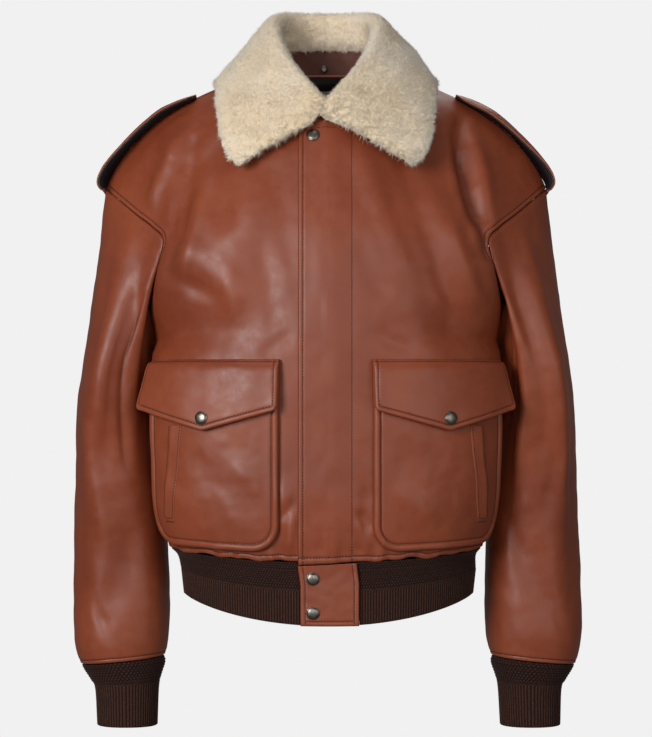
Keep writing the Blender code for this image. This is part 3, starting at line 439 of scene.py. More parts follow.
def new_object(name, bm, *materials):
    bm.normal_update()
    mesh = bpy.data.meshes.new(name)
    bm.to_mesh(mesh)
    bm.free()
    for material in materials:
        mesh.materials.append(material)
    mesh.shade_smooth()
    obj = bpy.data.objects.new(name, mesh)
    bpy.context.scene.collection.objects.link(obj)
    return obj


def cloth(name, points, materials, thickness, *, closed=False, flip=False, keep=None, seams=None,
          wear=None, uv=None):
    """A sheet on a grid of points [row, column], with a wall of this thickness on its inner side."""
    rows, columns = points.shape[:2]
    if closed:
        points = np.concatenate([points, points[:, :1]], axis=1)
        seams = None if seams is None else np.concatenate([seams, seams[:, :1]], axis=1)
        wear = None if wear is None else np.concatenate([wear, wear[:, :1]], axis=1)
        columns += 1
    bm = bmesh.new()
    bmesh.ops.create_grid(bm, x_segments=columns - 1, y_segments=rows - 1, size=0.5)
    bm.verts.ensure_lookup_table()
    place = [(round((v.co.y + 0.5) * (rows - 1)), round((v.co.x + 0.5) * (columns - 1))) for v in bm.verts]
    seam_layer = bm.verts.layers.float_vector.new("seams")
    wear_and_shade_layer = bm.verts.layers.float.new("wear")
    uv_layer = bm.loops.layers.uv.new("cloth")
    if uv is None:
        middle = points[rows // 2], points[:, columns // 2]
        uv = run_length(middle[0]), run_length(middle[1])
    at = {v: rc for v, rc in zip(bm.verts, place)}
    metres = (points * MM).tolist()
    for v, (r, c) in at.items():
        v.co = metres[r][c]
        v[seam_layer] = (FAR,) * 3 if seams is None else seams[r, c].tolist()
        v[wear_and_shade_layer] = 0.0 if wear is None else float(wear[r, c])
    for face in bm.faces:
        for loop in face.loops:
            r, c = at[loop.vert]
            loop[uv_layer].uv = (uv[0][c] * 0.01, uv[1][r] * 0.01)
    if keep is not None:
        drop = [f for f in bm.faces
                if not keep(*(min(at[v][k] for v in f.verts) for k in (0, 1)))]
        bmesh.ops.delete(bm, geom=drop, context="FACES")
    if flip:
        bmesh.ops.reverse_faces(bm, faces=bm.faces)
    if closed:
        bmesh.ops.remove_doubles(bm, verts=bm.verts, dist=1e-6)
    obj = new_object(name, bm, *materials)
    solid = obj.modifiers.new("wall", "SOLIDIFY")
    solid.thickness = thickness * MM
    solid.offset = -1.0
    solid.material_offset = len(materials) - 1
    return obj


def seam_distances(*distances):
    """Distances to one, two or three seams at each point, as the leather's grooves read them."""
    none = np.full(distances[0].shape, FAR)
    return np.stack([*distances, *[none] * (3 - len(distances))], axis=-1)


def close_shell(obj, split=False):
    """Merges a grid's ends, fills what is open and turns the faces outwards."""
    obj.modifiers.clear()
    bm = bmesh.new()
    bm.from_mesh(obj.data)
    bmesh.ops.remove_doubles(bm, verts=bm.verts, dist=1e-6)
    open_edges = [e for e in bm.edges if e.is_boundary]
    if open_edges:
        bmesh.ops.holes_fill(bm, edges=open_edges, sides=0)
    if split:
        bmesh.ops.triangulate(bm, faces=[f for f in bm.faces if len(f.verts) > 4])
    bmesh.ops.recalc_face_normals(bm, faces=bm.faces)
    bm.to_mesh(obj.data)
    bm.free()


def tree_of(obj):
    """Search tree, in millimetres, of a piece's outer face."""
    return BVHTree.FromPolygons([v.co / MM for v in obj.data.vertices],
                                [p.vertices for p in obj.data.polygons])


def copies(name, template, places, material, tip=None):
    """One mesh of many copies of a small template: places has rows of position and 3 axis vectors."""
    verts, faces = template
    count, size = len(places), len(verts)
    axes = places[:, 1:4]
    out = places[:, 0][:, None] + np.einsum("vk,nkx->nvx", verts, axes)
    mesh = bpy.data.meshes.new(name)
    mesh.vertices.add(count * size)
    mesh.vertices.foreach_set("co", (out * MM).astype(np.float32).ravel())
    corners = np.array(faces)
    loops = (np.arange(count)[:, None, None] * size + corners[None]).reshape(-1)
    mesh.loops.add(len(loops))
    mesh.loops.foreach_set("vertex_index", loops.astype(np.int32))
    mesh.polygons.add(count * len(corners))
    starts = np.arange(count * len(corners), dtype=np.int32) * corners.shape[1]
    mesh.polygons.foreach_set("loop_start", starts)
    if tip is not None:
        layer = mesh.attributes.new("tip", "FLOAT", "POINT")
        layer.data.foreach_set("value", np.tile(tip, count).astype(np.float32))
    mesh.update(calc_edges=True)
    mesh.validate()
    mesh.materials.append(material)
    mesh.shade_smooth()
    obj = bpy.data.objects.new(name, mesh)
    bpy.context.scene.collection.objects.link(obj)
    return obj


def template_of(bm):
    """Vertices and triangles of a small bmesh, for copies()."""
    bmesh.ops.triangulate(bm, faces=bm.faces)
    bm.verts.index_update()
    verts = np.array([v.co[:] for v in bm.verts])
    faces = [[v.index for v in f.verts] for f in bm.faces]
    bm.free()
    return verts, faces


def finish_piece(obj, slot, *nodes):
    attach(obj, "root")
    if nodes:
        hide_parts(*nodes)
    return obj


def declare(points):
    """Works out the longest row and column of a piece's flat cut, and keeps neither."""
    width = run_length(points)[:, -1].max() * MM
    length = run_length(points.transpose(1, 0, 2))[:, -1].max() * MM


# ---------------------------------------------------------------- materials
SMOOTH = {"interpolation_type": "SMOOTHSTEP"}
TIMES = {"operation": "MULTIPLY"}
LEAST = {"operation": "MINIMUM"}
COLOR = {"data_type": "RGBA"}


def linear(color):
    """Linear RGBA of an sRGB hex colour such as #94503A."""
    parts = [int(color[i:i + 2], 16) / 255 for i in (1, 3, 5)]
    return (*(c / 12.92 if c <= 0.04045 else ((c + 0.055) / 1.055)**2.4 for c in parts), 1.0)


def fill(tree, node, inputs):
    """Links the inputs that are given a socket, and sets the others to their values."""
    for name, value in dict(inputs).items():
        if isinstance(value, bpy.types.NodeSocket):
            tree.links.new(value, node.inputs[name])
        else:
            node.inputs[name].default_value = value


def add(tree, kind, inputs=(), **settings):
    """Adds a shader node with its settings and inputs, and gives its outputs."""
    made = tree.nodes.new("ShaderNode" + kind)
    for name, value in settings.items():
        setattr(made, name, value)
    fill(tree, made, inputs)
    return made.outputs


def new_material(name):
    material = bpy.data.materials.new(name)
    material.use_nodes = True
    tree = material.node_tree
    return material, tree, tree.nodes["Principled BSDF"], add(tree, "TexCoord")["Object"]


LEATHER_NOISES = [
    # size in millimetres, detail, roughness, distortion: patches, mottle, wrinkles, swelling
    (120, 2.0, 0.55, 0.0),
    (11, 5.0, 0.65, 0.0),
    (7, 4.0, 0.6, 0.8),
    (30, 2.0, 0.55, 0.0),
]


def leather_material(name, dark, light, rubbed, deep, roughness=0.43):
    """Calf leather, drum dyed and finished smooth: a soft broad shine over a fine pore grain, with
    painted shade that darkens its hollows, and paler where a fold or a turned edge is rubbed."""
    material, tree, shader, coord = new_material(name)
    patches, mottle, wrinkle, swell = (
        add(tree, "TexNoise", {"Vector": coord, "Scale": 1000 / size_mm, "Detail": detail,
                               "Roughness": rough, "Distortion": bend})[0]
        for size_mm, detail, rough, bend in LEATHER_NOISES)
    soft = add(tree, "Math", {0: mottle, 1: 0.35}, **TIMES)[0]
    tone = add(tree, "Math", {0: patches, 1: soft}, operation="ADD")[0]
    tone = add(tree, "MapRange", {"Value": tone, "From Min": 0.4, "From Max": 0.95}, **SMOOTH)[0]
    color = add(tree, "Mix", {0: tone, 6: dark, 7: light}, **COLOR)[2]
    wear = add(tree, "Attribute", attribute_name="wear")["Fac"]
    ridge = add(tree, "Math", {0: wear, 1: 0.0}, operation="MAXIMUM")[0]
    color = add(tree, "Mix", {0: ridge, 6: color, 7: rubbed}, **COLOR)[2]
    # Painted shade: where the attribute is below 0, in a hollow, the colour darkens towards the deep tone.
    hollow_shade = add(tree, "MapRange", {"Value": wear, "From Min": 0.0, "From Max": -1.0}, **SMOOTH)[0]
    hollow_shade = add(tree, "Math", {0: hollow_shade, 1: 0.75}, **TIMES)[0]
    color = add(tree, "Mix", {0: hollow_shade, 6: color, 7: deep}, **COLOR)[2]
    seams = add(tree, "Attribute", attribute_name="seams")["Vector"]
    away = add(tree, "SeparateXYZ", {0: add(tree, "VectorMath", {0: seams}, operation="ABSOLUTE")[0]})
    near = add(tree, "Math", {0: away[0], 1: away[1]}, **LEAST)[0]
    near = add(tree, "Math", {0: near, 1: away[2]}, **LEAST)[0]
    groove = add(tree, "MapRange", {"Value": near, "From Min": 1.3, "From Max": 0.1}, **SMOOTH)[0]
    stain = add(tree, "Math", {0: groove, 1: 0.04}, **TIMES)[0]
    color = add(tree, "Mix", {0: stain, 6: color, 7: deep}, **COLOR)[2]
    pores = add(tree, "TexVoronoi", {"Vector": coord, "Scale": 1000 / 1.3}, feature="SMOOTH_F1")[0]
    level = add(tree, "Math", {0: 1.0, 1: groove}, operation="SUBTRACT")[0]
    relief = {}
    for height, depth_mm, strength in ((pores, 0.12, 0.3), (wrinkle, 0.35, 0.14), (swell, 1.6, 0.09),
                                       (level, 0.6, 0.35)):
        relief["Normal"] = add(tree, "Bump", {"Height": height, "Distance": depth_mm * MM,
                                              "Strength": strength, **relief})[0]
    rough = add(tree, "MapRange", {"Value": mottle, "From Min": 0.3, "From Max": 0.7,
                                   "To Min": roughness - 0.05, "To Max": roughness + 0.08})[0]
    fill(tree, shader, {"Base Color": color, "Roughness": rough, "Specular IOR Level": 0.42, **relief})
    return material


def suede_material(name, dark, light):
    """Flesh side of the leather: napped, so it takes no shine."""
    material, tree, shader, coord = new_material(name)
    nap = add(tree, "TexNoise", {"Vector": coord, "Scale": 1000 / 6, "Detail": 4.0, "Roughness": 0.7})[0]
    fine = add(tree, "TexNoise", {"Vector": coord, "Scale": 1000 / 0.8, "Detail": 2.0, "Roughness": 0.55})[0]
    fill(tree, shader, {
        "Base Color": add(tree, "Mix", {0: nap, 6: dark, 7: light}, **COLOR)[2],
        "Normal": add(tree, "Bump", {"Height": fine, "Distance": 0.2 * MM, "Strength": 0.5})[0],
        "Roughness": 0.95, "Sheen Weight": 0.15})
    return material


def knit_material(name, dark, light):
    """Worsted wool, rib knitted: matt and fuzzy, with painted shade that makes it near black between its
    wales.
    """
    material, tree, shader, coord = new_material(name)
    # Painted shade: the rib height lightens the wales and darkens the grooves between them.
    wear = add(tree, "Attribute", attribute_name="wear")["Fac"]
    height = add(tree, "MapRange", {"Value": wear, "From Min": 0.05, "From Max": 1.0}, **SMOOTH)[0]
    fluff = add(tree, "TexNoise", {"Vector": coord, "Scale": 1000 / 1.1, "Detail": 3.0, "Roughness": 0.7})[0]
    fuzz = add(tree, "MapRange", {"Value": fluff, "From Min": 0.2, "From Max": 0.75}, **SMOOTH)[0]
    lit = add(tree, "Math", {0: height, 1: fuzz}, **TIMES)[0]
    fill(tree, shader, {
        "Base Color": add(tree, "Mix", {0: lit, 6: dark, 7: light}, **COLOR)[2],
        "Normal": add(tree, "Bump", {"Height": fluff, "Distance": 0.35 * MM, "Strength": 0.6})[0],
        "Roughness": 0.9, "Sheen Weight": 0.06, "Sheen Roughness": 0.45, "Specular IOR Level": 0.2})
    return material


def shearling_material(name, root, middle, tip):
    """Clipped lambswool on the hide: matt, warm in its depth and pale at the tips."""
    material, tree, shader, coord = new_material(name)
    blotch, curl, lock = (
        add(tree, "TexNoise", {"Vector": coord, "Scale": 1000 / size_mm, "Detail": detail,
                               "Roughness": rough})[0]
        for size_mm, detail, rough in ((60, 2.0, 0.5), (4.5, 3.0, 0.65), (2.2, 4.0, 0.7)))
    blotch = add(tree, "MapRange", {"Value": blotch, "From Min": 0.3, "From Max": 0.75}, **SMOOTH)[0]
    curl = add(tree, "MapRange", {"Value": curl, "From Min": 0.3, "From Max": 0.7}, **SMOOTH)[0]
    curl = add(tree, "Math", {0: curl, 1: 0.35}, **TIMES)[0]
    body = add(tree, "Mix", {0: blotch, 6: middle, 7: tip}, **COLOR)[2]
    body = add(tree, "Mix", {0: curl, 6: body, 7: tip}, **COLOR)[2]
    along = add(tree, "Attribute", attribute_name="tip")["Fac"]
    along = add(tree, "MapRange", {"Value": along, "From Min": -0.6, "From Max": 0.9}, **SMOOTH)[0]
    fill(tree, shader, {
        "Base Color": add(tree, "Mix", {0: along, 6: root, 7: body}, **COLOR)[2],
        "Normal": add(tree, "Bump", {"Height": lock, "Distance": 1.2 * MM, "Strength": 0.6})[0],
        "Roughness": 0.95, "Specular IOR Level": 0.1, "Sheen Weight": 0.25, "Sheen Roughness": 0.6})
    return material


def satin_material(name, color):
    """Woven acetate lining: a close twill with a low sheen along its floats."""
    material, tree, shader, coord = new_material(name)
    twill = add(tree, "TexWave", {"Vector": coord, "Scale": 1000 / 1.2 / 20, "Distortion": 0.4},
                bands_direction="DIAGONAL")[0]
    fill(tree, shader, {
        "Base Color": color,
        "Normal": add(tree, "Bump", {"Height": twill, "Distance": 0.1 * MM, "Strength": 0.3})[0],
        "Roughness": 0.55, "Sheen Weight": 0.1})
    return material


def woven_material(name, warp, weft):
    """Damask woven tape: two close threads that cross, matt, with a slight ribbing."""
    material, tree, shader, coord = new_material(name)
    rows, lines = (
        add(tree, "TexWave", {"Vector": coord, "Scale": 1000 / spacing_mm / 20}, bands_direction=way)[0]
        for spacing_mm, way in ((0.8, "Z"), (0.9, "X")))
    both = add(tree, "Math", {0: rows, 1: lines}, **TIMES)[0]
    fill(tree, shader, {
        "Base Color": add(tree, "Mix", {0: both, 6: warp, 7: weft}, **COLOR)[2],
        "Normal": add(tree, "Bump", {"Height": both, "Distance": 0.2 * MM, "Strength": 0.5})[0],
        "Roughness": 0.85})
    return material


def thread_material(name, dark, light):
    """Bonded polyester thread: smooth, slightly shiny, darker than the leather it sinks into; its near-black
    tone also paints the shade of the stitch holes.
    """
    material, tree, shader, coord = new_material(name)
    ply = add(tree, "TexNoise", {"Vector": coord, "Scale": 1000 / 3, "Detail": 3.0, "Roughness": 0.55})[0]
    fill(tree, shader, {"Base Color": add(tree, "Mix", {0: ply, 6: dark, 7: light}, **COLOR)[2],
                        "Roughness": 0.6})
    return material


def snap_material(name, dark, middle, bright):
    """Pressed brass cap, plated gunmetal and aged: satin, rubbed bright on its crown and rim."""
    material, tree, shader, coord = new_material(name)
    patina = add(tree, "TexNoise", {"Vector": coord, "Scale": 1000 / 2.5, "Detail": 4.0,
                                    "Roughness": 0.65})[0]
    patina = add(tree, "MapRange", {"Value": patina, "From Min": 0.3, "From Max": 0.7}, **SMOOTH)[0]
    rubbed = add(tree, "Attribute", attribute_name="wear")["Fac"]
    color = add(tree, "Mix", {0: patina, 6: dark, 7: middle}, **COLOR)[2]
    fill(tree, shader, {
        "Base Color": add(tree, "Mix", {0: rubbed, 6: color, 7: bright}, **COLOR)[2],
        "Roughness": add(tree, "MapRange", {"Value": patina, "To Min": 0.28, "To Max": 0.42})[0],
        "Metallic": 1.0})
    return material


def paper_material(name, color):
    """Studio floor paper, lit so evenly that it loses its surface and meets the air's pale tone."""
    material, tree, shader, _ = new_material(name)
    fill(tree, shader, {"Base Color": (0, 0, 0, 1), "Roughness": 1.0, "Specular IOR Level": 0.0,
                        "Emission Color": color, "Emission Strength": 1.0})
    return material


MATERIALS = {}


def material_for(key):
    """Materials are made once. The colours that a user would change are in the scene's dyes."""
    if not MATERIALS:
        dyes = bpy.context.scene.dyes
        tan = [getattr(dyes, "leather_" + tone)[:] for tone in ("dark", "light", "rubbed", "deep")]
        fleece = [getattr(dyes, "fleece_" + tone)[:] for tone in ("root", "middle", "tip")]
        # Near-black under collar: the dark hide, with painted shadow beneath the fleece's lower edge.
        under = map(linear, ("#1B1211", "#2A1C19", "#4A342C", "#0E0808"))
        navy = map(linear, ("#1A1A20", "#26262E", "#3A3A44", "#0E0E12"))
        # A darker copy of the tan leather for the stand: painted shade for where it sits recessed under the
        # collar.
        stand = map(linear, ("#4E2010", "#5C2814", "#7A3E24", "#2A1008"))
        MATERIALS.update(
            leather=leather_material("calf_leather_tan", *tan),
            dark_leather=leather_material("calf_leather_dark", *under, 0.5),
            navy=leather_material("calf_leather_navy", *navy, 0.45),
            stand=leather_material("calf_leather_stand", *stand, 0.55),
            suede=suede_material("suede_flesh_side", linear("#4A2416"), linear("#6A3A28")),
            knit=knit_material("wool_rib_brown", dyes.knit_dark[:], dyes.knit_light[:]),
            fleece=shearling_material("shearling_clipped", *fleece),
            lining=satin_material("acetate_lining_black", linear("#101012")),
            label=woven_material("woven_tape_beige", linear("#D6CAB4"), linear("#EEE4D2")),
            thread=thread_material("bonded_thread_brown", dyes.thread[:], linear("#3A150B")),
            metal=snap_material("gunmetal_cap", *map(linear, ("#4E4A44", "#6E685E", "#A39D93"))),
            paper=paper_material("floor_paper", linear(PAPER)),
        )
    return MATERIALS[key]


def leather_faces():
    """The leather's outer face and its flesh side."""
    return material_for("leather"), material_for("suede")


# ---------------------------------------------------------------- surfaces of the body
LIP_LOW = -235.0          # the armhole's topstitched lip ends in the fold at the arm
# Distances of the topstitching from the edges. The fly's two rows are at distances from the centre.
SEWING = {"hem": 6.8, "armhole": 5.2, "sleeve": 5.5, "pocket": 9.0, "flap": 6.0, "flap_top": 2.4,
          "strap": 3.0, "fly_left": -25.6, "fly_right": 29.0, "tab": 5.6}
FLY_TOP = {"from": -14, "to": 13, "height": -66.5, "slope": 0.02}     # stitches across the fly's top
FLY_DROP_ROWS = 9         # the fly's droop fades over these rows
NO_FLY = 500.0            # a place across that is far from both rows of the fly
GATHERS = [
    # width, depth, height above the edge, reach, shift of the noise
    (11.0, 2.8, 9, 13, 0),
    (4.5, 0.9, 4, 5, 5),
]
HANG_WIDTH, HANG, HANG_MEAN, HANG_REACH = 21.0, 3.4, 0.3, 14
ROWS_AT = np.concatenate([np.linspace(0, 0.38, 9)[:-1], np.linspace(0.38, 14, 132)])
SHARE = np.concatenate([np.linspace(0, 0.955, 70)[:-1], np.linspace(0.955, 1, 12)])
BACK_SHARE = np.concatenate([np.linspace(0, 0.955, 52)[:-1], np.linspace(0.955, 1, 10)])
FLY_X = np.array([-31, -30.6, -30, -29, -28, -27, -26.3, -25.6, -24.9, -24, -22, -19, -15.5, -12, -8, -4])


def turned_edge(d, height, width):
    """Profile of a topstitched edge: rounded at the edge, proud up to the stitches, then level."""
    return np.interp(d, [0, 0.8, 2.0, width - 1.6, width, width + 1.6, width + 8],
                     [-1.0, 0.1, height, height * 0.75, 0.0, height * 0.45, 0])


def waves_along(x, width, seed):
    return np.array([noise.noise(Vector((v / width, seed, 0))) for v in x[0]])[None, :]


def puckers(x, hem, seed):
    """Small upright gathers where the knit draws the leather in, uneven in size and place."""
    return sum(waves_along(x, width, seed + shift) * depth * np.exp(-((hem - above) / reach)**2)
               for width, depth, above, reach, shift in GATHERS)


def hem_waves(x, hem, seed):
    """How far the leather's lower edge hangs below its plain line as the knit pulls it in."""
    return (waves_along(x, HANG_WIDTH, seed + 2) * HANG + HANG_MEAN) * np.exp(-(hem / HANG_REACH)**2)


def side_dip(points, share):
    """The groove of the side seam, up to the underarm."""
    away = (1 - share)[None, :] * run_length(points)[:, -1:]
    return 0.9 * np.exp(-(away / 2.0)**2) * (ROWS_AT < UNDERARM_ROW)[:, None]


def front_surface(side):
    """Outer points of a front on the wearer's left, with distances to its edges."""
    seed = 4.0 if side == "left" else 9.0
    base = FRONT.even(ROWS_AT, SHARE)
    seam = FRONT.even(np.linspace(UNDERARM_ROW, SHOULDER_ROW, 90), np.array([1.0]))[:, 0]
    normals = grid_normals(base)
    out = step((1 - SHARE) / 0.21)[None, :] * step((SHOULDER_ROW - ROWS_AT) / 1.5)[:, None]
    folds = [f[1:] for f in FRONT_FOLDS if f[0] == side]
    fine = [c[1:] for c in CREASES if c[0] == "front_" + side]
    fade = out * np.clip(ROWS_AT / 0.5, 0, 1)[:, None]
    hem = run_length(base.transpose(1, 0, 2)).T
    armhole = line_distance(base, seam)
    rim = np.minimum(np.minimum(armhole, hem), 30) / 30
    push = crease_push(base, folds) * fade + crease_push(base, fine) * step(rim * 2.5)
    push += uneven(base, 64, 1.0, seed - 1) * step(rim * 1.5)
    push += turned_edge(armhole, 0.9, SEWING["armhole"]) * step((base[..., 2] - LIP_LOW) / 30)
    push += turned_edge(hem, 1.3, SEWING["hem"]) + puckers(base[..., 0], hem, seed)
    push -= side_dip(base, SHARE)
    ends = step((SHARE - 0.1) / 0.12) * step((1 - SHARE) / 0.2)
    base[..., 2] -= hem_waves(base[..., 0], hem, seed) * ends[None, :]
    return base + normals * push[..., None], normals, armhole, hem


def body_seams(armhole, hem, x):
    fly = np.where(np.abs(x - SEWING["fly_left"]) < np.abs(x - SEWING["fly_right"]),
                   x - SEWING["fly_left"], x - SEWING["fly_right"])
    return seam_distances(armhole - SEWING["armhole"], hem - SEWING["hem"], fly)


def wear_and_shade_of(points, normals):
    """Rubbed ridges and painted shade in hollows, from how a surface bends: above 0 on a ridge, below in a
    hollow.
    """
    bend = np.zeros(points.shape[:2])
    mid = points[1:-1, 1:-1]
    for a, b in ((points[2:, 1:-1], points[:-2, 1:-1]), (points[1:-1, 2:], points[1:-1, :-2])):
        reach = np.maximum(np.linalg.norm(a - b, axis=-1) / 2, 0.5)
        bend[1:-1, 1:-1] += ((mid - (a + b) / 2) * normals[1:-1, 1:-1]).sum(-1) / reach**2
    # Hollows count 2.6 times as much as ridges: their darkening is painted shade.
    return np.clip(bend * np.where(bend < 0, 2.6, 1.1), -0.8, 0.5)


def trace(points, values, level, along_rows=True):
    """Line on a grid where the values cross a level, looking from the far end of each row or column."""
    if not along_rows:
        points, values = points.transpose(1, 0, 2), values.T
    line = []
    for p, v in zip(points, values):
        cross = np.flatnonzero((v[:-1] - level) * (v[1:] - level) <= 0)
        if len(cross):
            i = cross[-1] if along_rows else cross[0]
            f = (level - v[i]) / ((v[i + 1] - v[i]) or 1e-9)
            line.append(p[i] + (p[i + 1] - p[i]) * f)
    return np.array(line)


def above_lip(line):
    return line[line[:, 2] > LIP_LOW + 8]


STITCHES = {}


def sew(group, tree, line):
    """Lays stitches along a line of points, on the nearest skin of a piece."""
    line = np.asarray(line, float)
    run = run_length(line)
    pitch = round(bpy.context.scene.sewing.pitch / MM, 4)
    at = (np.arange(int(run[-1] / pitch)) + 0.5) * pitch
    centre = np.stack([np.interp(at, run, line[:, k]) for k in range(3)], axis=1)
    ahead = np.stack([np.interp(at + 0.6, run, line[:, k]) for k in range(3)], axis=1)
    for c, a in zip(centre, ahead):
        spot, normal, _, _ = tree.find_nearest(Vector(c))
        tangent = Vector(a - c)
        tangent = (tangent - normal * tangent.dot(normal)).normalized()
        across = normal.cross(tangent)
        # Each stitch is drawn wider and taller than its thread, so that its dark tone also paints the shade
        # of the stitch hole.
        STITCHES.setdefault(group, []).append(
            [spot + normal * 0.05, tangent, across * 0.85, normal * 0.55])


def make_fronts():
    under, under_normals, armhole, hem = front_surface("right")
    points = under.copy()
    low = ROWS_AT <= PIT_ROW
    points[low, 0, 0] += UNDERLAP
    wear = wear_and_shade_of(points, under_normals)
    right = cloth("leather_front_right", mirror_x(points), leather_faces(), LEATHER, flip=True,
                  seams=body_seams(armhole, hem, np.full(hem.shape, NO_FLY)), wear=wear)
    finish_piece(right, "tan_leather", "front_right")
    declare(points)
    tree = tree_of(right)
    sew("body", tree, above_lip(mirror_x(trace(points, armhole, SEWING["armhole"]))))
    sew("body", tree, mirror_x(trace(points[:, 8:], hem[:, 8:], SEWING["hem"], False)))

    points, normals, armhole, hem = front_surface("left")
    fly, fly_normals, fly_hem = [], [], []
    for x in FLY_X:
        fly.append([[x, np.interp(-x, r[:, 0], r[:, 1]), np.interp(-x, r[:, 0], r[:, 2])] for r in under])
        fly_normals.append([[-np.interp(-x, r[:, 0], n[:, 0]), np.interp(-x, r[:, 0], n[:, 1]),
                             np.interp(-x, r[:, 0], n[:, 2])] for r, n in zip(under, under_normals)])
        fly_hem.append(hem[:, 0])
    points = np.concatenate([np.array(fly).transpose(1, 0, 2), points], axis=1)
    normals = np.concatenate([np.array(fly_normals).transpose(1, 0, 2), normals], axis=1)
    hem = np.concatenate([np.array(fly_hem).T, hem], axis=1)
    armhole = np.concatenate([np.full((len(points), len(FLY_X)), FAR), armhole], axis=1)
    x = points[..., 0].copy()
    fade = np.linspace(1, 0.1, FLY_DROP_ROWS)[:, None]
    points[:FLY_DROP_ROWS, :, 2] -= fly_drop(x[:FLY_DROP_ROWS]) * fade
    edge = turned_edge(x - FLY_EDGE, 0.7, SEWING["fly_left"] - FLY_EDGE)
    second = -0.45 * np.exp(-((x - SEWING["fly_right"]) / 1.6)**2)
    points += normals * (fly_rise(x) + np.where(x < 0, edge, 0) + second)[..., None]
    pit = int(np.argmin(np.abs(ROWS_AT - PIT_ROW)))
    left = cloth("leather_front_left", points, leather_faces(), LEATHER,
                 seams=body_seams(armhole, hem, x), wear=wear_and_shade_of(points, normals),
                 keep=lambda r, c: c >= len(FLY_X) or r < pit)
    finish_piece(left, "tan_leather", "front_left")
    declare(points)
    tree = tree_of(left)
    sew("body", tree, above_lip(trace(points, armhole, SEWING["armhole"])))
    sew("body", tree, trace(points, hem, SEWING["hem"], False))
    sew("body", tree, trace(points[:pit], x[:pit], SEWING["fly_left"]))
    sew("body", tree, trace(points[:pit + 8], x[:pit + 8], SEWING["fly_right"]))
    sew("body", tree, [(x, -110, FLY_TOP["height"] + FLY_TOP["slope"] * (x - FLY_TOP["from"]))
                       for x in np.linspace(FLY_TOP["from"], FLY_TOP["to"], 8)])


def make_back():
    half = BACK.even(ROWS_AT, BACK_SHARE)
    seam = BACK.even(np.linspace(UNDERARM_ROW, SHOULDER_ROW, 90), np.array([1.0]))[:, 0]
    normals = -grid_normals(half)
    normals[:, 0] = unit(normals[:, 0] * (ROWS_AT > NAPE_ROW).reshape(-1, 1) * (1, 0, 0)
                         + normals[:, 0] * (0, 1, 1))
    armhole = line_distance(half, seam)
    hem = run_length(half.transpose(1, 0, 2)).T
    push = turned_edge(hem, 1.3, SEWING["hem"]) + turned_edge(armhole, 0.9, SEWING["armhole"]) * (
        (ROWS_AT >= UNDERARM_ROW - 0.2)[:, None] | (armhole < 12))
    push -= side_dip(half, BACK_SHARE)
    half = half + normals * push[..., None]
    joined = np.concatenate([mirror_x(half)[:, :0:-1], half], axis=1)
    normals = np.concatenate([mirror_x(normals)[:, :0:-1], normals], axis=1)
    armhole = np.concatenate([armhole[:, :0:-1], armhole], axis=1)
    hem = np.concatenate([hem[:, :0:-1], hem], axis=1)
    rim = np.minimum(np.minimum(armhole, hem), 30) / 30
    fine = [c[1:] for c in CREASES if c[0] == "back"]
    top = step((SHOULDER_ROW - ROWS_AT) / 1.5)[:, None]
    push = (crease_push(joined, fine) + uneven(joined, 64, 1.2, 21.0)) * step(rim * 1.8) * top
    joined = joined + normals * push[..., None]
    seams = seam_distances(armhole - SEWING["armhole"], hem - SEWING["hem"])
    back = cloth("leather_back", joined, leather_faces(), LEATHER, flip=True, seams=seams,
                 wear=wear_and_shade_of(joined, normals))
    finish_piece(back, "tan_leather", "back")
    declare(joined)
    tree = tree_of(back)
    middle = joined.shape[1] // 2
    sew("body", tree, trace(joined[:, middle:], armhole[:, middle:], SEWING["armhole"]))
    sew("body", tree, trace(joined[:, :middle][:, ::-1], armhole[:, :middle][:, ::-1], SEWING["armhole"]))
    sew("body", tree, trace(joined, hem, SEWING["hem"], False))


# ---------------------------------------------------------------- sleeves
ANGLES = np.linspace(0, 360, 105)[:-1]
SLEEVE_AT = np.concatenate([np.linspace(0, 0.06, 6)[:-1], np.linspace(0.06, 1, 44)[:-1],
                            np.linspace(1, 8.5, 88)[:-1], np.linspace(8.5, 9, 12)])


ROUNDNESS = 2.2           # 2 is an ellipse, and more is squarer
SWING_TOP, SWING_LENGTH = -480, 274
FOLD_FADE = 45.0          # a sleeve's fold fades in and out over this height


def ring(row, angles):
    """A rounded sleeve section. Its seam side is at the shoulder point's angle."""
    z, inner, outer, mid, half_depth, rise = row
    a = np.radians(angles)
    c, s = np.cos(a), np.sin(a)
    x = (inner + outer) / 2 + (outer - inner) / 2 * np.sign(c) * np.abs(c)**(2 / ROUNDNESS)
    y = mid - half_depth * np.sign(s) * np.abs(s)**(2 / ROUNDNESS)
    return np.stack([x, y, z - rise * c], axis=1)


def swing(side, points):
    share = np.clip((SWING_TOP - points[..., 2]) / SWING_LENGTH, 0, 1)
    return points + (SLEEVE_SWING[side] * share)[..., None] * np.array([1.0, 0.0, 0.0])


def sleeve_push(points, angles, table):
    push = np.zeros(points.shape[:2])
    z = points[..., 2]
    for top_angle, low_angle, top, low, half_width, depth in table:
        u = np.clip((top - z) / (top - low), 0, 1)
        off = np.abs((angles[None, :] - (top_angle + (low_angle - top_angle) * u) + 180) % 360 - 180)
        fade = np.clip(np.minimum(top - z, z - low) / FOLD_FADE, 0, 1)
        push += depth * np.exp(-(off / half_width)**2) * fade
    return push


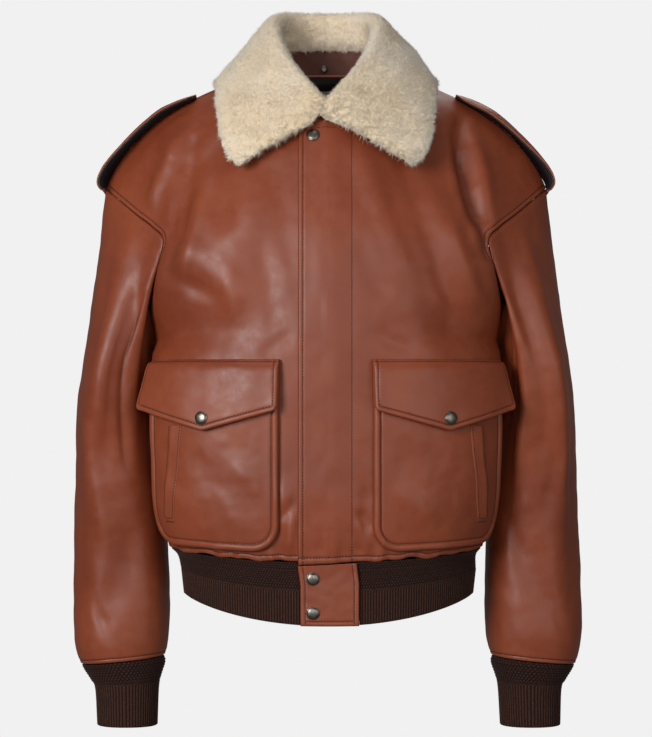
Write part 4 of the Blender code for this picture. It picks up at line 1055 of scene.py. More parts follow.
def sleeve_surface(side):
    rows = np.where(ANGLES <= 180, SHOULDER_ROW - ANGLES / 180 * ARMHOLE_ROWS,
                    SHOULDER_ROW - (360 - ANGLES) / 180 * ARMHOLE_ROWS)
    front = FRONT.points(rows, np.array([1.0]))[:, 0]
    back = BACK.points(rows, np.array([1.0]))[:, 0]
    loop = np.where((ANGLES <= 180)[:, None], front, back)
    seam_normals = armhole_normals(loop, rows)
    along = np.roll(loop, -1, 0) - np.roll(loop, 1, 0)
    start = loop + unit(np.cross(seam_normals, along)) * SEAM_GAP * 1.5
    first = ring(SLEEVE_RINGS[0], ANGLES)
    points = []
    for t in SLEEVE_AT:
        if t < 1:
            mixed = start * (1 - t) + first * t
            lean = np.cos(np.radians(ANGLES))
            mixed[:, 0] -= math.sin(math.pi * t) * np.where(lean > 0, CAP_HOLLOW, CAP_FULL) * lean
            points.append(mixed)
        else:
            points.append(ring(curve_through(SLEEVE_RINGS, [t - 1])[0], ANGLES))
    points = np.array(points)
    smooth = points.copy()
    for _ in range(20):
        smooth[1:-1] = smooth[1:-1] * 0.5 + (smooth[2:] + smooth[:-2]) * 0.25
    run = run_length(points.transpose(1, 0, 2)).T
    from_end = run[-1:] - run
    keep = step(run / 30) * step(from_end / 25)
    points = points + (smooth - points) * keep[..., None]
    points = swing(side, points)
    points = points + grid_normals(points, True) * sleeve_push(points, ANGLES, SLEEVE_FOLDS)[..., None]
    normals = grid_normals(points, closed=True)
    fine = [c[1:] for c in SLEEVE_CREASES if c[0] in (side, "both")]
    swell = uneven(points, 60, 1.0, 31.0 if side == "left" else 47.0)
    push = sleeve_push(points, ANGLES, fine) + swell * keep
    push += turned_edge(from_end, 1.1, SEWING["sleeve"])
    push -= 1.3 * np.exp(-(run / 2.4)**2)
    return points + normals * push[..., None], normals, from_end


def make_sleeves():
    for side in ("left", "right"):
        points, normals, from_end = sleeve_surface(side)
        wear = wear_and_shade_of(points, normals)
        seams = seam_distances(from_end - SEWING["sleeve"])
        shown = points if side == "left" else mirror_x(points)
        sleeve = cloth("leather_sleeve_" + side, shown, leather_faces(), LEATHER, closed=True,
                       flip=side == "right", seams=seams, wear=wear)
        finish_piece(sleeve, "tan_leather", "sleeve_" + side)
        declare(np.concatenate([shown, shown[:, :1]], axis=1))
        line = trace(shown, from_end, SEWING["sleeve"], False)
        sew("sleeves", tree_of(sleeve), np.concatenate([line, line[:1]]))


# ---------------------------------------------------------------- pockets
def landed(points, normals, trees):
    """Moves points along their normals onto the outermost of these skins."""
    out = np.array(points, float)
    for i in np.ndindex(points.shape[:-1]):
        n = Vector(normals[i])
        start = Vector(points[i]) + n * 40
        hits = [tree.ray_cast(start, -n, 80)[0] for tree in trees]
        hits = [h for h in hits if h is not None]
        if hits:
            out[i] = max(hits, key=lambda h: h.dot(n))
    return out


def on_front(side, across, heights, trees):
    """Points and normals on one front at distances across and heights."""
    grid = FRONT.at(across, heights)
    normals = grid_normals(grid)
    if side == "right":
        grid, normals = mirror_x(grid), mirror_x(normals)
    soft = landed(grid, normals, trees)
    off = ((soft - grid) * normals).sum(-1)
    for _ in range(6):
        off[1:-1, 1:-1] = (off[2:, 1:-1] + off[:-2, 1:-1] + off[1:-1, 2:] + off[1:-1, :-2]) / 4
    return grid + normals * off[..., None], normals


def pocket_plan(u, v):
    """Rounds the pocket's lower corners: u from its inner edge and v from its lower one."""
    width, corner = POCKET["outer"] - POCKET["inner"], POCKET["corner"]
    side_off = np.maximum(corner - np.minimum(u, width - u), 0)
    low_off = np.maximum(corner - v, 0)
    length = np.maximum(np.hypot(side_off, low_off), 1e-9)
    shrink = np.where((side_off > 0) & (low_off > 0), np.maximum(side_off, low_off) / length, 1)
    shift = side_off * (1 - shrink)
    return np.where(u < width / 2, u + shift, u - shift), v + low_off * (1 - shrink)


POCKET_FOLDS = [
    # from (u, v)   to (u, v)   half width  depth
    ((26, 70), (70, 36), 11, 1.6),
    ((60, 110), (118, 40), 16, -1.6),
    ((96, 60), (120, 24), 8, 1.2),
    ((30, 120), (44, 64), 13, -1.3),
    ((112, 96), (150, 60), 12, 1.4),
]


def make_pockets():
    width, height = POCKET["outer"] - POCKET["inner"], POCKET["top"] - POCKET["bottom"]
    rim = np.array([0, 0.8, 1.6, 2.6, 3.8, 5, 6.2, 7.4, 8.2, 9, 9.8, 11, 13])
    u = np.concatenate([rim, np.linspace(16, width - 16, 38), width - rim[::-1]])
    v = np.concatenate([rim, np.linspace(16, height, 56)])
    for side in ("left", "right"):
        front = tree_of(bpy.data.objects["leather_front_" + side])
        a, b = np.meshgrid(u, v)
        inset = np.minimum(np.minimum(a, width - a), b)
        relief = np.interp(inset, [0, 0.8, 2.6, 5, 7.4, 9, 11, 16, 60],
                           [0.2, 3.4, 5.6, 6.0, 5.0, 3.1, 3.6, 3.5, 4.4])
        relief = np.minimum(relief, np.interp(height - b, [0, 20, 50], [1.6, 2.4, 6.0]))
        folds = POCKET_FOLDS
        if side == "right":
            folds = [((width - u0, v0 + 8), (width - u1, v1 + 5), *rest)
                     for (u0, v0), (u1, v1), *rest in POCKET_FOLDS]
        plan = np.stack([a, 0 * a, b], axis=-1)
        soft = crease_push(plan, folds) + uneven(plan, 44, 0.8, 5.0 + len(side))
        relief = relief + soft * step((inset - 10) / 20)
        across, up = pocket_plan(a, b)
        grid, normals = on_front(side, POCKET["inner"] + across, POCKET["bottom"] + up, [front])
        points = grid + normals * (POCKET["clear"] + relief)[..., None]
        seams = seam_distances(inset - SEWING["pocket"])
        pocket = cloth("leather_pocket_" + side, points, leather_faces(), LEATHER, flip=side == "right",
                       seams=seams, wear=wear_and_shade_of(points, normals))
        finish_piece(pocket, "tan_leather", "pocket_" + side)
        declare(points)
        tree = tree_of(pocket)
        s, corner = SEWING["pocket"], POCKET["corner"]
        path = [(s, h) for h in np.linspace(height - 60, corner, 8)]
        path += [(s, corner - (corner - s) * t) for t in np.linspace(0.2, 1, 8)]
        path += [(s + (width - 2 * s) * t, s) for t in np.linspace(0, 1, 40)[1:]]
        path += [(width - s, s + (corner - s) * t) for t in np.linspace(0.2, 1, 8)]
        path += [(width - s, h) for h in np.linspace(34, height - 60, 8)]
        path = np.array(path)
        pu, pv = pocket_plan(path[:, 0], path[:, 1])
        line = FRONT.at(POCKET["inner"] + pu, POCKET["bottom"] + pv)
        sew("pockets", tree, line if side == "left" else mirror_x(line))
        make_welt(side, tree)
        make_flap(side, [front, tree])


def make_welt(side, under):
    f, g = np.meshgrid(np.linspace(0, 1, 44), np.linspace(0, 1, 14), indexing="ij")
    inner = WELT["bottom_inner"] + (WELT["top_inner"] - WELT["bottom_inner"]) * f
    outer = WELT["bottom_outer"] + (WELT["top_outer"] - WELT["bottom_outer"]) * f
    across, heights = inner + (outer - inner) * g, WELT["bottom"] + (WELT["top"] - WELT["bottom"]) * f
    grid, normals = on_front(side, across, heights, [under])
    rise = np.interp(g, [0, 0.06, 0.5, 0.9, 1], [0.1, 0.7, 1.6, 2.9, 1.6])
    rise = rise * np.interp(f, [0, 0.03, 0.08, 1], [0.2, 0.6, 1, 1])
    points = grid + normals * rise[..., None]
    seams = seam_distances(g * 14.5 - 1.8)
    welt = cloth("leather_welt_" + side, points, leather_faces(), 0.9, flip=side == "right", seams=seams,
                 wear=wear_and_shade_of(points, normals))
    finish_piece(welt, "tan_leather", "pocket_welt_" + side)
    declare(points)
    tree = tree_of(welt)
    sew("pockets", tree, points[2:, 2])
    sew("pockets", tree, points[2, 2:12])
    beside = points[2:, -1] + (points[2:, -1] - points[2:, 8]) * 0.6
    sew("pockets", under, beside)


def make_flap(side, under):
    inner, outer = FLAP["inner"], FLAP["outer"]
    width = outer - inner
    edge = np.array([0, 0.7, 1.5, 2.5, 3.7, 5, 6, 7, 8.5, 11])
    u = np.concatenate([edge, np.linspace(14, width - 14, 44), width - edge[::-1]])
    down_mm = np.concatenate([[0, 1.2, 2.4, 3.6, 5.5], np.linspace(8, 49.5, 16)])
    low = FLAP["side"] + (FLAP["point"] - FLAP["side"]) * (1 - np.abs(2 * u / width - 1))
    corner = 9.0
    near = np.minimum(np.minimum(u, width - u), corner)
    low = low + corner - np.sqrt(corner**2 - (corner - near)**2)
    drop = FLAP["top"] - low
    table = np.concatenate([down_mm[None, :].repeat(len(u), 0) * (drop[:, None] - 11) / 52,
                            drop[:, None] - edge[None, ::-1]], axis=1).T
    inset = np.minimum(np.minimum(u, width - u)[None, :], (drop[None, :] - table) * 0.96)
    share = np.clip(table / drop[None, :], 0, 1)
    across = np.tile(inner + u, (len(table), 1))
    grid, normals = on_front(side, across[::-1], (FLAP["top"] - table)[::-1], under)
    share, inset, table = share[::-1], inset[::-1], table[::-1]
    rise = np.interp(share, [0, 0.12, 0.3, 0.55, 1], [2.6, 6.4, 6.8, 7.4, FLAP["rise"]])
    rise = rise + FLAP["lift"] * (u / width)[None, :]**6 * share + LAYER
    rise += np.interp(inset, [0, 0.7, 1.8, 4.4, 6, 7.4, 12], [-1.7, -0.5, 0.5, 0.4, -0.35, 0.25, 0])
    rise += np.interp(table, [0, 1.2, 2.4, 4.0, 8], [-0.3, 0.5, -0.2, 0.9, 0])
    plan = np.stack([np.tile(u, (len(table), 1)), 0 * table, table], axis=-1)
    rise += uneven(plan, 48, 0.6, 3.0 + len(side)) * step(inset / 14) * step(table / 12)
    points = grid + normals * rise[..., None]
    seams = seam_distances(inset - SEWING["flap"], table - SEWING["flap_top"])
    flap = cloth("leather_flap_" + side, points, leather_faces(), LAYER, flip=side == "right", seams=seams,
                 wear=wear_and_shade_of(points, normals))
    finish_piece(flap, "tan_leather", "pocket_flap_" + side)
    declare(points)
    tree = tree_of(flap)
    middle = len(u) // 2
    top = len(edge) + 1
    left = trace(points[top:, :middle][:, ::-1], inset[top:, :middle][:, ::-1], SEWING["flap"])
    right = trace(points[top:, middle:], inset[top:, middle:], SEWING["flap"])
    low = trace(points[:, 7:-7], inset[:, 7:-7], SEWING["flap"], False)
    for line in (np.concatenate([low[:1], left[:-2]]), np.concatenate([low[-1:], right[:-2]]), low[1:-1]):
        sew("pockets", tree, line)
    sew("pockets", tree, trace(points, table, SEWING["flap_top"], False))


# ---------------------------------------------------------------- knit waistband, cuffs and tab
WAIST_HALF = 176          # the waist's half width where it is at the side
WAIST_SIDE = -16          # the waist's side, front to back


def waist_loop():
    s = np.linspace(0, 1, 60)
    front, back = FRONT.points([0.0], s)[0], BACK.points([0.0], s)[0]
    half = np.concatenate([front, back[::-1][1:]])
    return np.concatenate([half, mirror_x(half)[::-1][1:]])


def waist_section(at, row):
    """Points of the waistband at these shares of the way round, and the way outwards there."""
    loop = waist_loop()
    run = run_length(loop)
    at = np.asarray(at) * run[-1]
    p, ahead, behind = (np.stack([np.interp(at + d, run, loop[:, k]) for k in range(3)], axis=1)
                        for d in (0, 4, -4))
    along = unit((ahead - behind) * (1, 1, 0))
    outward = np.stack([along[:, 1], -along[:, 0], 0 * along[:, 0]], axis=1)
    to_side = np.clip(np.abs(p[:, 0]) / WAIST_HALF, 0, 1)**2
    front = step((WAIST_SIDE - p[:, 1]) / 12)
    ends = row[2] + (row[0] - row[2]) * front, row[5] + (row[3] - row[5]) * front
    drop = ends[0] + (row[1] - ends[0]) * to_side
    inset = ends[1] + (row[4] - ends[1]) * to_side
    p = p - outward * inset[:, None] - np.outer(drop, (0, 0, 1))
    return p + np.outer(np.clip(drop / 25, 0, 1), (WAIST_SHIFT, 0, 0)), outward, run[-1]


def knit_height(ribs, columns, waffle_rows):
    """Height of the knit face: rows of staggered tucks above plain ribs. waffle_rows counts tuck rows
    down from the top, and is negative in the ribs."""
    turn = np.arange(columns) / columns * ribs * 2 * math.pi
    rib = 0.5 - 0.5 * np.cos(turn)
    odd = (np.floor(waffle_rows) % 2)[:, None]
    tuck = (0.5 - 0.5 * np.cos(turn[None, :] + math.pi * odd)) * np.sin(math.pi * (waffle_rows % 1))[:, None]
    return np.where((waffle_rows < 0)[:, None], rib[None, :], tuck)


def knit_tube(name, section, outer_at, waffle, inner_at, ribs, columns, closed, node):
    """A knit wall: its face, a rounded lower edge, and a plain inside back to the top."""
    height = knit_height(ribs, columns, waffle)
    # tall holds the rib height that paints the knit's light and shade: lower between the ribs, on the rolled
    # edge and on the hidden inside.
    rows, tall = [], []
    for at, h in zip(outer_at, height):
        p, n = section(at)
        rows.append(p + n * (RIB_DEPTH * h)[:, None])
        tall.append(0.15 + 0.85 * h)
    p, n = section(outer_at[-1])
    for back, down in ((0.5, 0.7), (1.3, 1.0), (2.0, 0.7)):
        out = (RIB_DEPTH * height[-1] * (1 - back / KNIT) - back)[:, None]
        rows.append(p + n * out - np.array([0, 0, down]))
        tall.append(0.4 * height[-1])
    for at in inner_at:
        p, n = section(at)
        rows.append(p - n * KNIT)
        tall.append(np.full(columns, 0.2))
    rows.append(rows[0])
    tall.append(tall[0])
    points, wear = np.array(rows)[::-1], np.array(tall)[::-1]
    columns_run = np.arange(columns + 1) * RIB_PITCH * ribs / columns
    uv = columns_run, np.arange(len(points)) * 1.0
    obj = cloth(name, points, (material_for("knit"),), 0, closed=closed, wear=wear, uv=uv)
    close_shell(obj)
    finish_piece(obj, "brown_knit", node)
    face = np.array(rows)[:len(outer_at)]
    if closed:
        face = np.concatenate([face, face[:, :1]], axis=1)
    declare(face)


def make_knits():
    total = waist_section([0.0], WAIST_ROWS[0])[2]
    start, end = (TAB_RIGHT + 0.4) / total, 1 - (-TAB_LEFT - WAIST_LAP) / total
    ribs = round(total * (end - start) / RIB_PITCH)
    columns = ribs * 4 + 1
    drops = [r[0] for r in WAIST_ROWS]
    outer = np.concatenate([np.linspace(0.5, 33, 41), np.linspace(35, 71, 12)])
    waffle = np.where(outer < 33, (outer - 0.5) / 2.75, -1)

    def band(drop):
        row = curve_through(WAIST_ROWS, [np.interp(drop, drops, range(len(drops)))])[0]
        return waist_section(np.linspace(start, end, columns), row)[:2]

    knit_tube("knit_waistband", band, outer, waffle, [71, 33, 11, 0.5], ribs, columns, False, "hem_band")
    last = curve_through(SLEEVE_RINGS, [len(SLEEVE_RINGS) - 1])[0]
    table = np.vstack([last + np.array([-0.5, 0.2, -0.2, 0, -0.2, 0]), CUFF_RINGS])
    ribs = round(math.pi * (CUFF_RINGS[-1][2] - CUFF_RINGS[-1][1]) / RIB_PITCH)
    columns = ribs * 4
    levels = np.concatenate([np.linspace(table[0, 0], -708, 36), np.linspace(-710, table[-1, 0], 12)])
    waffle = np.where(levels > -708, (table[0, 0] - levels) / 2.9, -1)
    for side in ("left", "right"):
        sign = 1 if side == "left" else -1

        def tube(level):
            at = np.interp(-level, -table[:, 0], range(len(table)))
            row = curve_through(table, [at])[0]
            angles = np.arange(columns) / columns * 360 * -sign
            points = swing(side, ring(row, angles))
            centre = swing(side, np.array([(row[1] + row[2]) / 2, row[3], row[0]]))
            outward = unit((points - centre) * (1, 1, 0))
            flip = np.array([sign, 1, 1])
            return points * flip, outward * flip

        knit_tube("knit_cuff_" + side, tube, levels, waffle, [-754, -712, -686, table[0, 0]], ribs, columns,
                  True, "cuff_" + side)


def make_tab():
    edge = np.array([0, 0.6, 1.3, 2.2, 3.4, 4.6, 5.6, 6.6, 8])
    width = TAB_RIGHT - TAB_LEFT
    u = np.concatenate([edge, np.linspace(11, width - 11, 16), width - edge[::-1]])
    v = np.concatenate([edge, np.linspace(11, 61, 18), np.array([64, 67, 69, 70, TAB_DROP - TAB_GAP])])
    total = waist_section([0.0], WAIST_ROWS[0])[2]
    x = TAB_LEFT + u
    table = np.array(WAIST_ROWS)
    rows = []
    for up in v:
        drop = TAB_DROP - up
        inset = np.interp(drop, table[:, 0], table[:, 3])
        points, _, _ = waist_section(np.where(x < 0, 1 + x / total, x / total), (drop,) * 3 + (inset,) * 3)
        points[:, 2] -= fly_drop(x) * up / TAB_DROP
        rows.append(points)
    base = np.array(rows)
    a, b = np.meshgrid(u, v)
    inset = np.minimum(np.minimum(a, width - a), b)
    proud = np.interp(inset, [0, 0.6, 1.6, 4.4, 5.6, 7.0, 12], [-1.4, -0.3, 0.5, 0.3, -0.4, 0.2, 0])
    proud += uneven(np.stack([a, 0 * a, b], axis=-1), 22, 0.7, 2.0) * step(inset / 9)
    base[..., 1] -= RIB_DEPTH + 0.7 + 3.0 + proud
    normals = grid_normals(base)
    seams = seam_distances(inset - SEWING["tab"])
    tab = cloth("leather_hem_tab", base, leather_faces(), 2.6, seams=seams, wear=wear_and_shade_of(base, normals))
    finish_piece(tab, "tan_leather", "hem_tab")
    declare(base)
    tree = tree_of(tab)
    c = int(np.argmin(np.abs(u - SEWING["tab"])))
    sew("body", tree, base[:, c])
    sew("body", tree, base[:, len(u) - 1 - c])
    sew("body", tree, base[int(np.argmin(np.abs(v - SEWING["tab"]))), c:len(u) - c])


# ---------------------------------------------------------------- collar
def collar_hide(at, up_steps, down_steps):
    """The collar's hide from the centre back to the left front end, as rows from foot to edge."""
    c = curve_through(COLLAR_STATIONS, at)
    foot, roll, edge = c[:, 0], c[:, 1], c[:, 2]
    over = unit((edge - foot) * (1, 1, 0.25))
    near = np.interp(at, [0, 9], [1, 0.25])[:, None]
    up = bezier(foot, foot + (roll - foot) * 0.5, roll - over * 7 * near, roll, np.linspace(0, 1, up_steps))
    fall = unit(edge - roll)
    length = np.linalg.norm(edge - roll, axis=1)[:, None]
    at_end = np.interp(at, [8, 9], [0, 1])[:, None]
    lead = over * 13 * near * (1 - at_end) + np.array(COLLAR_DROP) * at_end
    down = bezier(roll, roll + lead, edge - fall * length * 0.4, edge, np.linspace(0, 1, down_steps))
    return np.concatenate([up, down[:, 1:]], axis=1)


def both_sides(left):
    return np.concatenate([mirror_x(left)[::-1], left[1:]])


PILE_SHOWN = 3.2          # the hair stands this far above the fleece's own body
PILE_ROOT = 1.2           # and starts this deep in it
HAIR_SEED = 7
CLUMP, TUFT = 4.0, 4.5    # sizes of the noises that lean the hairs and make them uneven
CROSS_TOP, CROSS_FALL = -32.0, 22.0
CROSS_SLANT = 0.45        # sideways for each millimetre down
CROSS_EVEN = 4            # the slant starts this far below the top
CROSS_REACH = 13          # and fades this far from the centre


def leant(points):
    """The collar's left leaf stands further out than the right one where it comes over its roll."""
    share = np.clip((points[..., 0] - COLLAR_LEAN_X) / COLLAR_LEAN_REACH, 0, 1)
    height = (points[..., 2] - COLLAR_LEAN_Z) / COLLAR_LEAN_REACH
    out = points.copy()
    out[..., 0] += COLLAR_LEAN * share * np.exp(-height**2)
    return out


def crossed(points):
    """The two leaves meet on a slant: the left one laps over to the right lower down."""
    low = np.clip(CROSS_TOP - points[..., 2], 0, CROSS_FALL)
    out = points.copy()
    slant = CROSS_SLANT * (low - CROSS_EVEN) * step((low - 0.1) / CROSS_EVEN)
    out[..., 0] -= slant * np.exp(-(points[..., 0] / CROSS_REACH)**2)
    return out


def make_collar():
    at = np.linspace(0, 9, 84)
    hide = collar_hide(at, 18, 44)
    normals = -grid_normals(hide)
    normals[0] *= (0, 1, 1)
    normals = unit(normals)
    columns = hide.shape[1]
    place = np.concatenate([np.linspace(0, 4, 18), np.linspace(4, 11, 44)[1:]])
    pile = np.interp(place, [0, 1, 4, 10, 11], [5, 8.5, FUR + 1.8, FUR, 7.0]) - PILE_SHOWN
    ends = np.interp(at, [0, 7.8, 8.4, 9], [1, 1, 0.92, 0.6])
    outer = hide + normals * pile[None, :, None] * ends[:, None, None]
    past = np.interp(place, [10, 11], [0, 1])[None, :, None]
    outer += unit(hide[:, -1:] - hide[:, -8:-7]) * 2.4 * past
    end = np.interp(at, [8.4, 9], [0, 1])[:, None, None]
    outer += unit(hide[-1:] - hide[-8:-7]) * 3.0 * end
    meeting = np.interp(place, [2, 4.5, 5.5, 7.5], [0, 1, 1, 0])[None, :] * end[..., 0]
    outer[..., 0] -= 5.0 * meeting
    outer[..., 2] -= 3.0 * meeting
    centre = np.arange(len(hide))[:, None] == 0
    outer[..., 0] = np.maximum(outer[..., 0], np.where(centre, 0, COLLAR_MEET - 0.2))
    inner = hide[:, ::-1][:, ::4]
    around = np.concatenate([outer, inner, outer[:, :1]], axis=1)
    full = both_sides(around)
    lump = np.zeros(full.shape[:2])
    shown = np.arange(full.shape[1]) < columns
    lump[:, shown] = uneven(full[:, shown], 22, 1.2, 61.0) + uneven(full[:, shown], 5, 0.5, 71.0)
    out = both_sides(np.concatenate([normals, np.zeros_like(inner), normals[:, :1] * 0], axis=1))
    full = crossed(leant(full + out * (lump * 0.9)[..., None]))
    full[:, -1] = full[:, 0]
    obj = cloth("shearling_collar", full, (material_for("fleece"),), 0, flip=True)
    close_shell(obj, split=True)
    finish_piece(obj, "cream_shearling", "collar")
    grow_pile(*with_rim(outer, hide, normals))
    make_under_collar(hide, normals)
    make_stand(at, hide, normals)


def with_rim(outer, hide, normals):
    """The fleece's face and its cut edges, with the way that the hair grows there."""
    fall = unit(hide[:, -1:] - hide[:, -8:-7])
    rim = [outer[:, -1:] * (1 - t) + hide[:, -1:] * t for t in (0.35, 0.7)]
    way = [unit(fall + normals[:, -1:] * t) for t in (0.5, 0.1)]
    skin = np.concatenate([outer, *rim], axis=1)
    last = outer.shape[1] - 1
    near = np.interp(np.arange(last + 1), [last - 5, last], [0, 0.9])
    out = np.concatenate([unit(normals + fall * near[None, :, None]), *way], axis=1)
    across = unit(hide[-1:] - hide[-8:-7])
    across = np.concatenate([across, across[:, -1:], across[:, -1:]], axis=1)
    back = np.concatenate([hide, hide[:, -1:], hide[:, -1:]], axis=1)[-1:]
    ends = [skin[-1:] * (1 - t) + back * t for t in (0.35, 0.7)]
    skin = np.concatenate([skin, *ends], axis=0)
    turned = [unit(out[-1:] + across * 0.6), unit(out[-1:] * 0.5 + across), across]
    out = np.concatenate([out[:-1], *turned], axis=0)
    return skin, out


def grow_pile(half, half_out):
    """Clipped wool hair on the fleece: one mesh on each side of the centre back."""
    hairs = bpy.context.scene.shearling.hairs
    rng = np.random.default_rng(HAIR_SEED)
    noise.seed_set(HAIR_SEED)       # noise_vector starts from the clock otherwise
    bm = bmesh.new()
    bmesh.ops.create_cone(bm, segments=3, radius1=0.5, radius2=0.0, depth=1.0, cap_ends=False)
    bmesh.ops.remove_doubles(bm, verts=bm.verts, dist=1e-5)
    bmesh.ops.translate(bm, verts=bm.verts, vec=(0, 0, 0.5))
    verts, faces = template_of(bm)
    tip = (verts[:, 2] > 0.5).astype(float)
    columns = half.shape[1]
    for side in ("left", "right"):
        skin, out = (half, half_out) if side == "left" else (mirror_x(half), mirror_x(half_out))
        skin = crossed(leant(skin))
        a, b, c = skin[:-1, :-1], skin[:-1, 1:], skin[1:, :-1]
        cell = np.linalg.norm(np.cross(b - a, c - a), axis=-1)
        cell[:, -4:] *= 2.2
        cell[-3:] *= 2.0
        pick = rng.choice(cell.size, hairs, p=cell.ravel() / cell.sum())
        r, k = np.unravel_index(pick, cell.shape)
        s, t = rng.random((2, len(pick), 1))
        root = (skin[r, k] * (1 - s) * (1 - t) + skin[r, k + 1] * s * (1 - t) + skin[r + 1, k] * (1 - s) * t
                + skin[r + 1, k + 1] * s * t)
        normal = unit(out[r, k] * (1 - s) + out[r, k + 1] * s)
        edge = np.clip((k - (columns - 7)) / 5, 0, 1)[:, None] * 0.8
        end = np.clip((r - (len(half) - 9)) / 5, 0, 1)[:, None]
        foot = np.clip((4 - k) / 4, 0, 1)[:, None]
        fall = unit(skin[r, k + 1] - skin[r, k]) * np.where(k < 16, -1, 1)[:, None]
        clump = np.array([noise.noise_vector(Vector(p) / CLUMP) for p in root.tolist()])
        lean = clump * 0.4 + rng.normal(0, 0.32, (len(pick), 3)) + fall * (0.25 + 0.2 * edge + 1.2 * foot)
        lean += unit(skin[r + 1, k] - skin[r, k]) * end * 0.7
        edge = np.maximum(edge, end)
        growth = unit(normal + lean)
        length = PILE_SHOWN + 0.6 + 2.2 * edge + 2.0 * foot + rng.normal(0, 0.7, (len(pick), 1))
        length = length.clip(2.2, 9.5)
        tuft = np.array([noise.noise(Vector(p) / TUFT) for p in root.tolist()])[:, None]
        length *= 0.85 + (0.5 + 0.9 * edge) * tuft
        across = unit(np.cross(growth, rng.normal(0, 1, (len(pick), 3))))
        thick = rng.uniform(0.6, 1.1, (len(pick), 1))
        places = np.stack([root - growth * PILE_ROOT, across * thick, np.cross(growth, across) * thick,
                           growth * (length + PILE_ROOT)], axis=1)
        hair = copies("shearling_pile_" + side, (verts, faces), places, material_for("fleece"), tip)
        finish_piece(hair, "cream_shearling")


def make_under_collar(hide, normals):
    leaf = np.arange(22, hide.shape[1], 2)
    leaf[-1] = hide.shape[1] - 1
    top = hide[:, leaf] - normals[:, leaf] * 1.3
    top[:, -1] -= unit(hide[:, -1] - hide[:, -8]) * 1.5
    # Its near-black leather is partly painted shadow beneath the fleece's lower edge.
    under = cloth("leather_under_collar", leant(both_sides(top)), (material_for("dark_leather"),), 1.2,
                  flip=True)
    finish_piece(under, "dark_leather", "under_collar")
    declare(both_sides(top))


def make_stand(at, hide, normals):
    feet = curve_through(STAND_FEET, at)
    upper = hide[:, :5:4] - normals[:, :5:4] * 0.7
    share = np.linspace(0, 1, 14)[None, :, None]
    low = feet[:, None] * (1 - share) + upper[:, :1] * share
    front = np.concatenate([low, upper[:, 1:]], axis=1)
    full = both_sides(front)
    face = -grid_normals(full)
    fade = np.interp(np.arange(full.shape[1]), [0, 4, 10, 14], [0, 1, 1, 0])[None, :]
    full = full + face * (uneven(full, 26, 0.8, 12.0) * fade)[..., None]
    # The stand takes the darker copy of the leather: painted shade.
    stand = cloth("leather_collar_stand", full, (material_for("stand"), material_for("suede")), 1.5,
                  flip=True, seams=seam_distances(run_length(full) - 3.0))
    finish_piece(stand, "tan_leather", "collar_stand")
    declare(full)


def make_lining():
    back = tree_of(bpy.data.objects["leather_back"])

    def inside(x, z, off):
        hit = back.ray_cast(Vector((x, 0, z)), Vector((0, 1, 0)), 200)[0]
        return (hit.x, hit.y - LEATHER - off, hit.z)

    across, down = np.linspace(-46, 46, 41), np.linspace(-42, -4.5, 18)
    face = np.array([[inside(x, z, 0.2) for x in across] for z in down])
    fade = np.interp(down, [-42, -30, -6], [1, 1, 0])[:, None]
    face[..., 1] -= 0.25 + 0.25 * np.sin(across / 7.0)[None, :] * fade
    strip = cloth("satin_neck_lining", face, (material_for("lining"),), 1.0)
    finish_piece(strip, "black_lining", "neck_lining")
    declare(face)
    across, down = np.linspace(-12, 12, 25), np.linspace(-40, -12, 29)
    face = np.array([[inside(x, z, 1.4) for x in across] for z in down])
    label = cloth("woven_label", face, (material_for("label"),), 0.7)
    finish_piece(label, "beige_label", "label")
    declare(face)
    tree = tree_of(label)
    for x in (-10.8, 10.8):
        sew("body", tree, [(x, face[-1, 0, 1], z) for z in np.linspace(-38.6, -13.4, 8)])


# ---------------------------------------------------------------- shoulder straps
def make_straps():
    path = curve_through(STRAP_PATH, np.linspace(0, 10, 60))
    centre = np.stack([path[:, 0], 0 * path[:, 0], path[:, 1]], axis=1)
    along = unit(np.gradient(centre, axis=0))
    outward = np.stack([along[:, 2], 0 * along[:, 0], -along[:, 0]], axis=1)
    v = np.sin(np.linspace(-math.pi / 2, math.pi / 2, 19))
    from_tip = run_length(centre[::-1])[::-1][:, None]
    inset = np.minimum(path[:, 2, None] * (1 - np.abs(v))[None, :], from_tip * 0.7 + 1)
    proud = np.interp(inset, [0, 0.5, 1.5, 3.0, 4.5, 8], [-0.5, 0.1, 0.5, -0.1, 0.1, 0])
    for side in ("left", "right"):
        front, rear = (path[:, k if side == "right" else k + 1, None] for k in (3, 5))
        bow = np.where(v > 0, rear, front) * v**2
        shown = centre[:, None] - bow[..., None] * np.array([0.6, 0.0, 0.8])
        shown[..., 1] = path[:, 2, None] * v
        way = outward[:, None] + np.zeros_like(shown)
        flip = side == "right"
        if flip:
            shown, way = mirror_x(shown), mirror_x(way)
        face = shown + way * (proud + uneven(shown, 30, 0.5, 9.0) * step(inset / 5))[..., None]
        seams = seam_distances(inset - SEWING["strap"])
        rubbed = np.interp(inset, [0, 1.0, 2.2], [0.75, 0.6, 0])
        strap = cloth("leather_strap_" + side, face, (material_for("leather"),), STRAP, flip=flip,
                      seams=seams, wear=rubbed)
        finish_piece(strap, "tan_leather", "epaulette_" + side)
        declare(face)
        below = shown - way * (STRAP + 0.3)
        backing = cloth("leather_strap_backing_" + side, below, (material_for("navy"),), 1.1, flip=flip)
        finish_piece(backing, "dark_leather", "epaulette_under_" + side)
        declare(below)
        tree = tree_of(strap)
        for edge in (face, face[:, ::-1]):
            sew("straps", tree, trace(edge[:-5, :12], inset[:-5, :12], SEWING["strap"]))


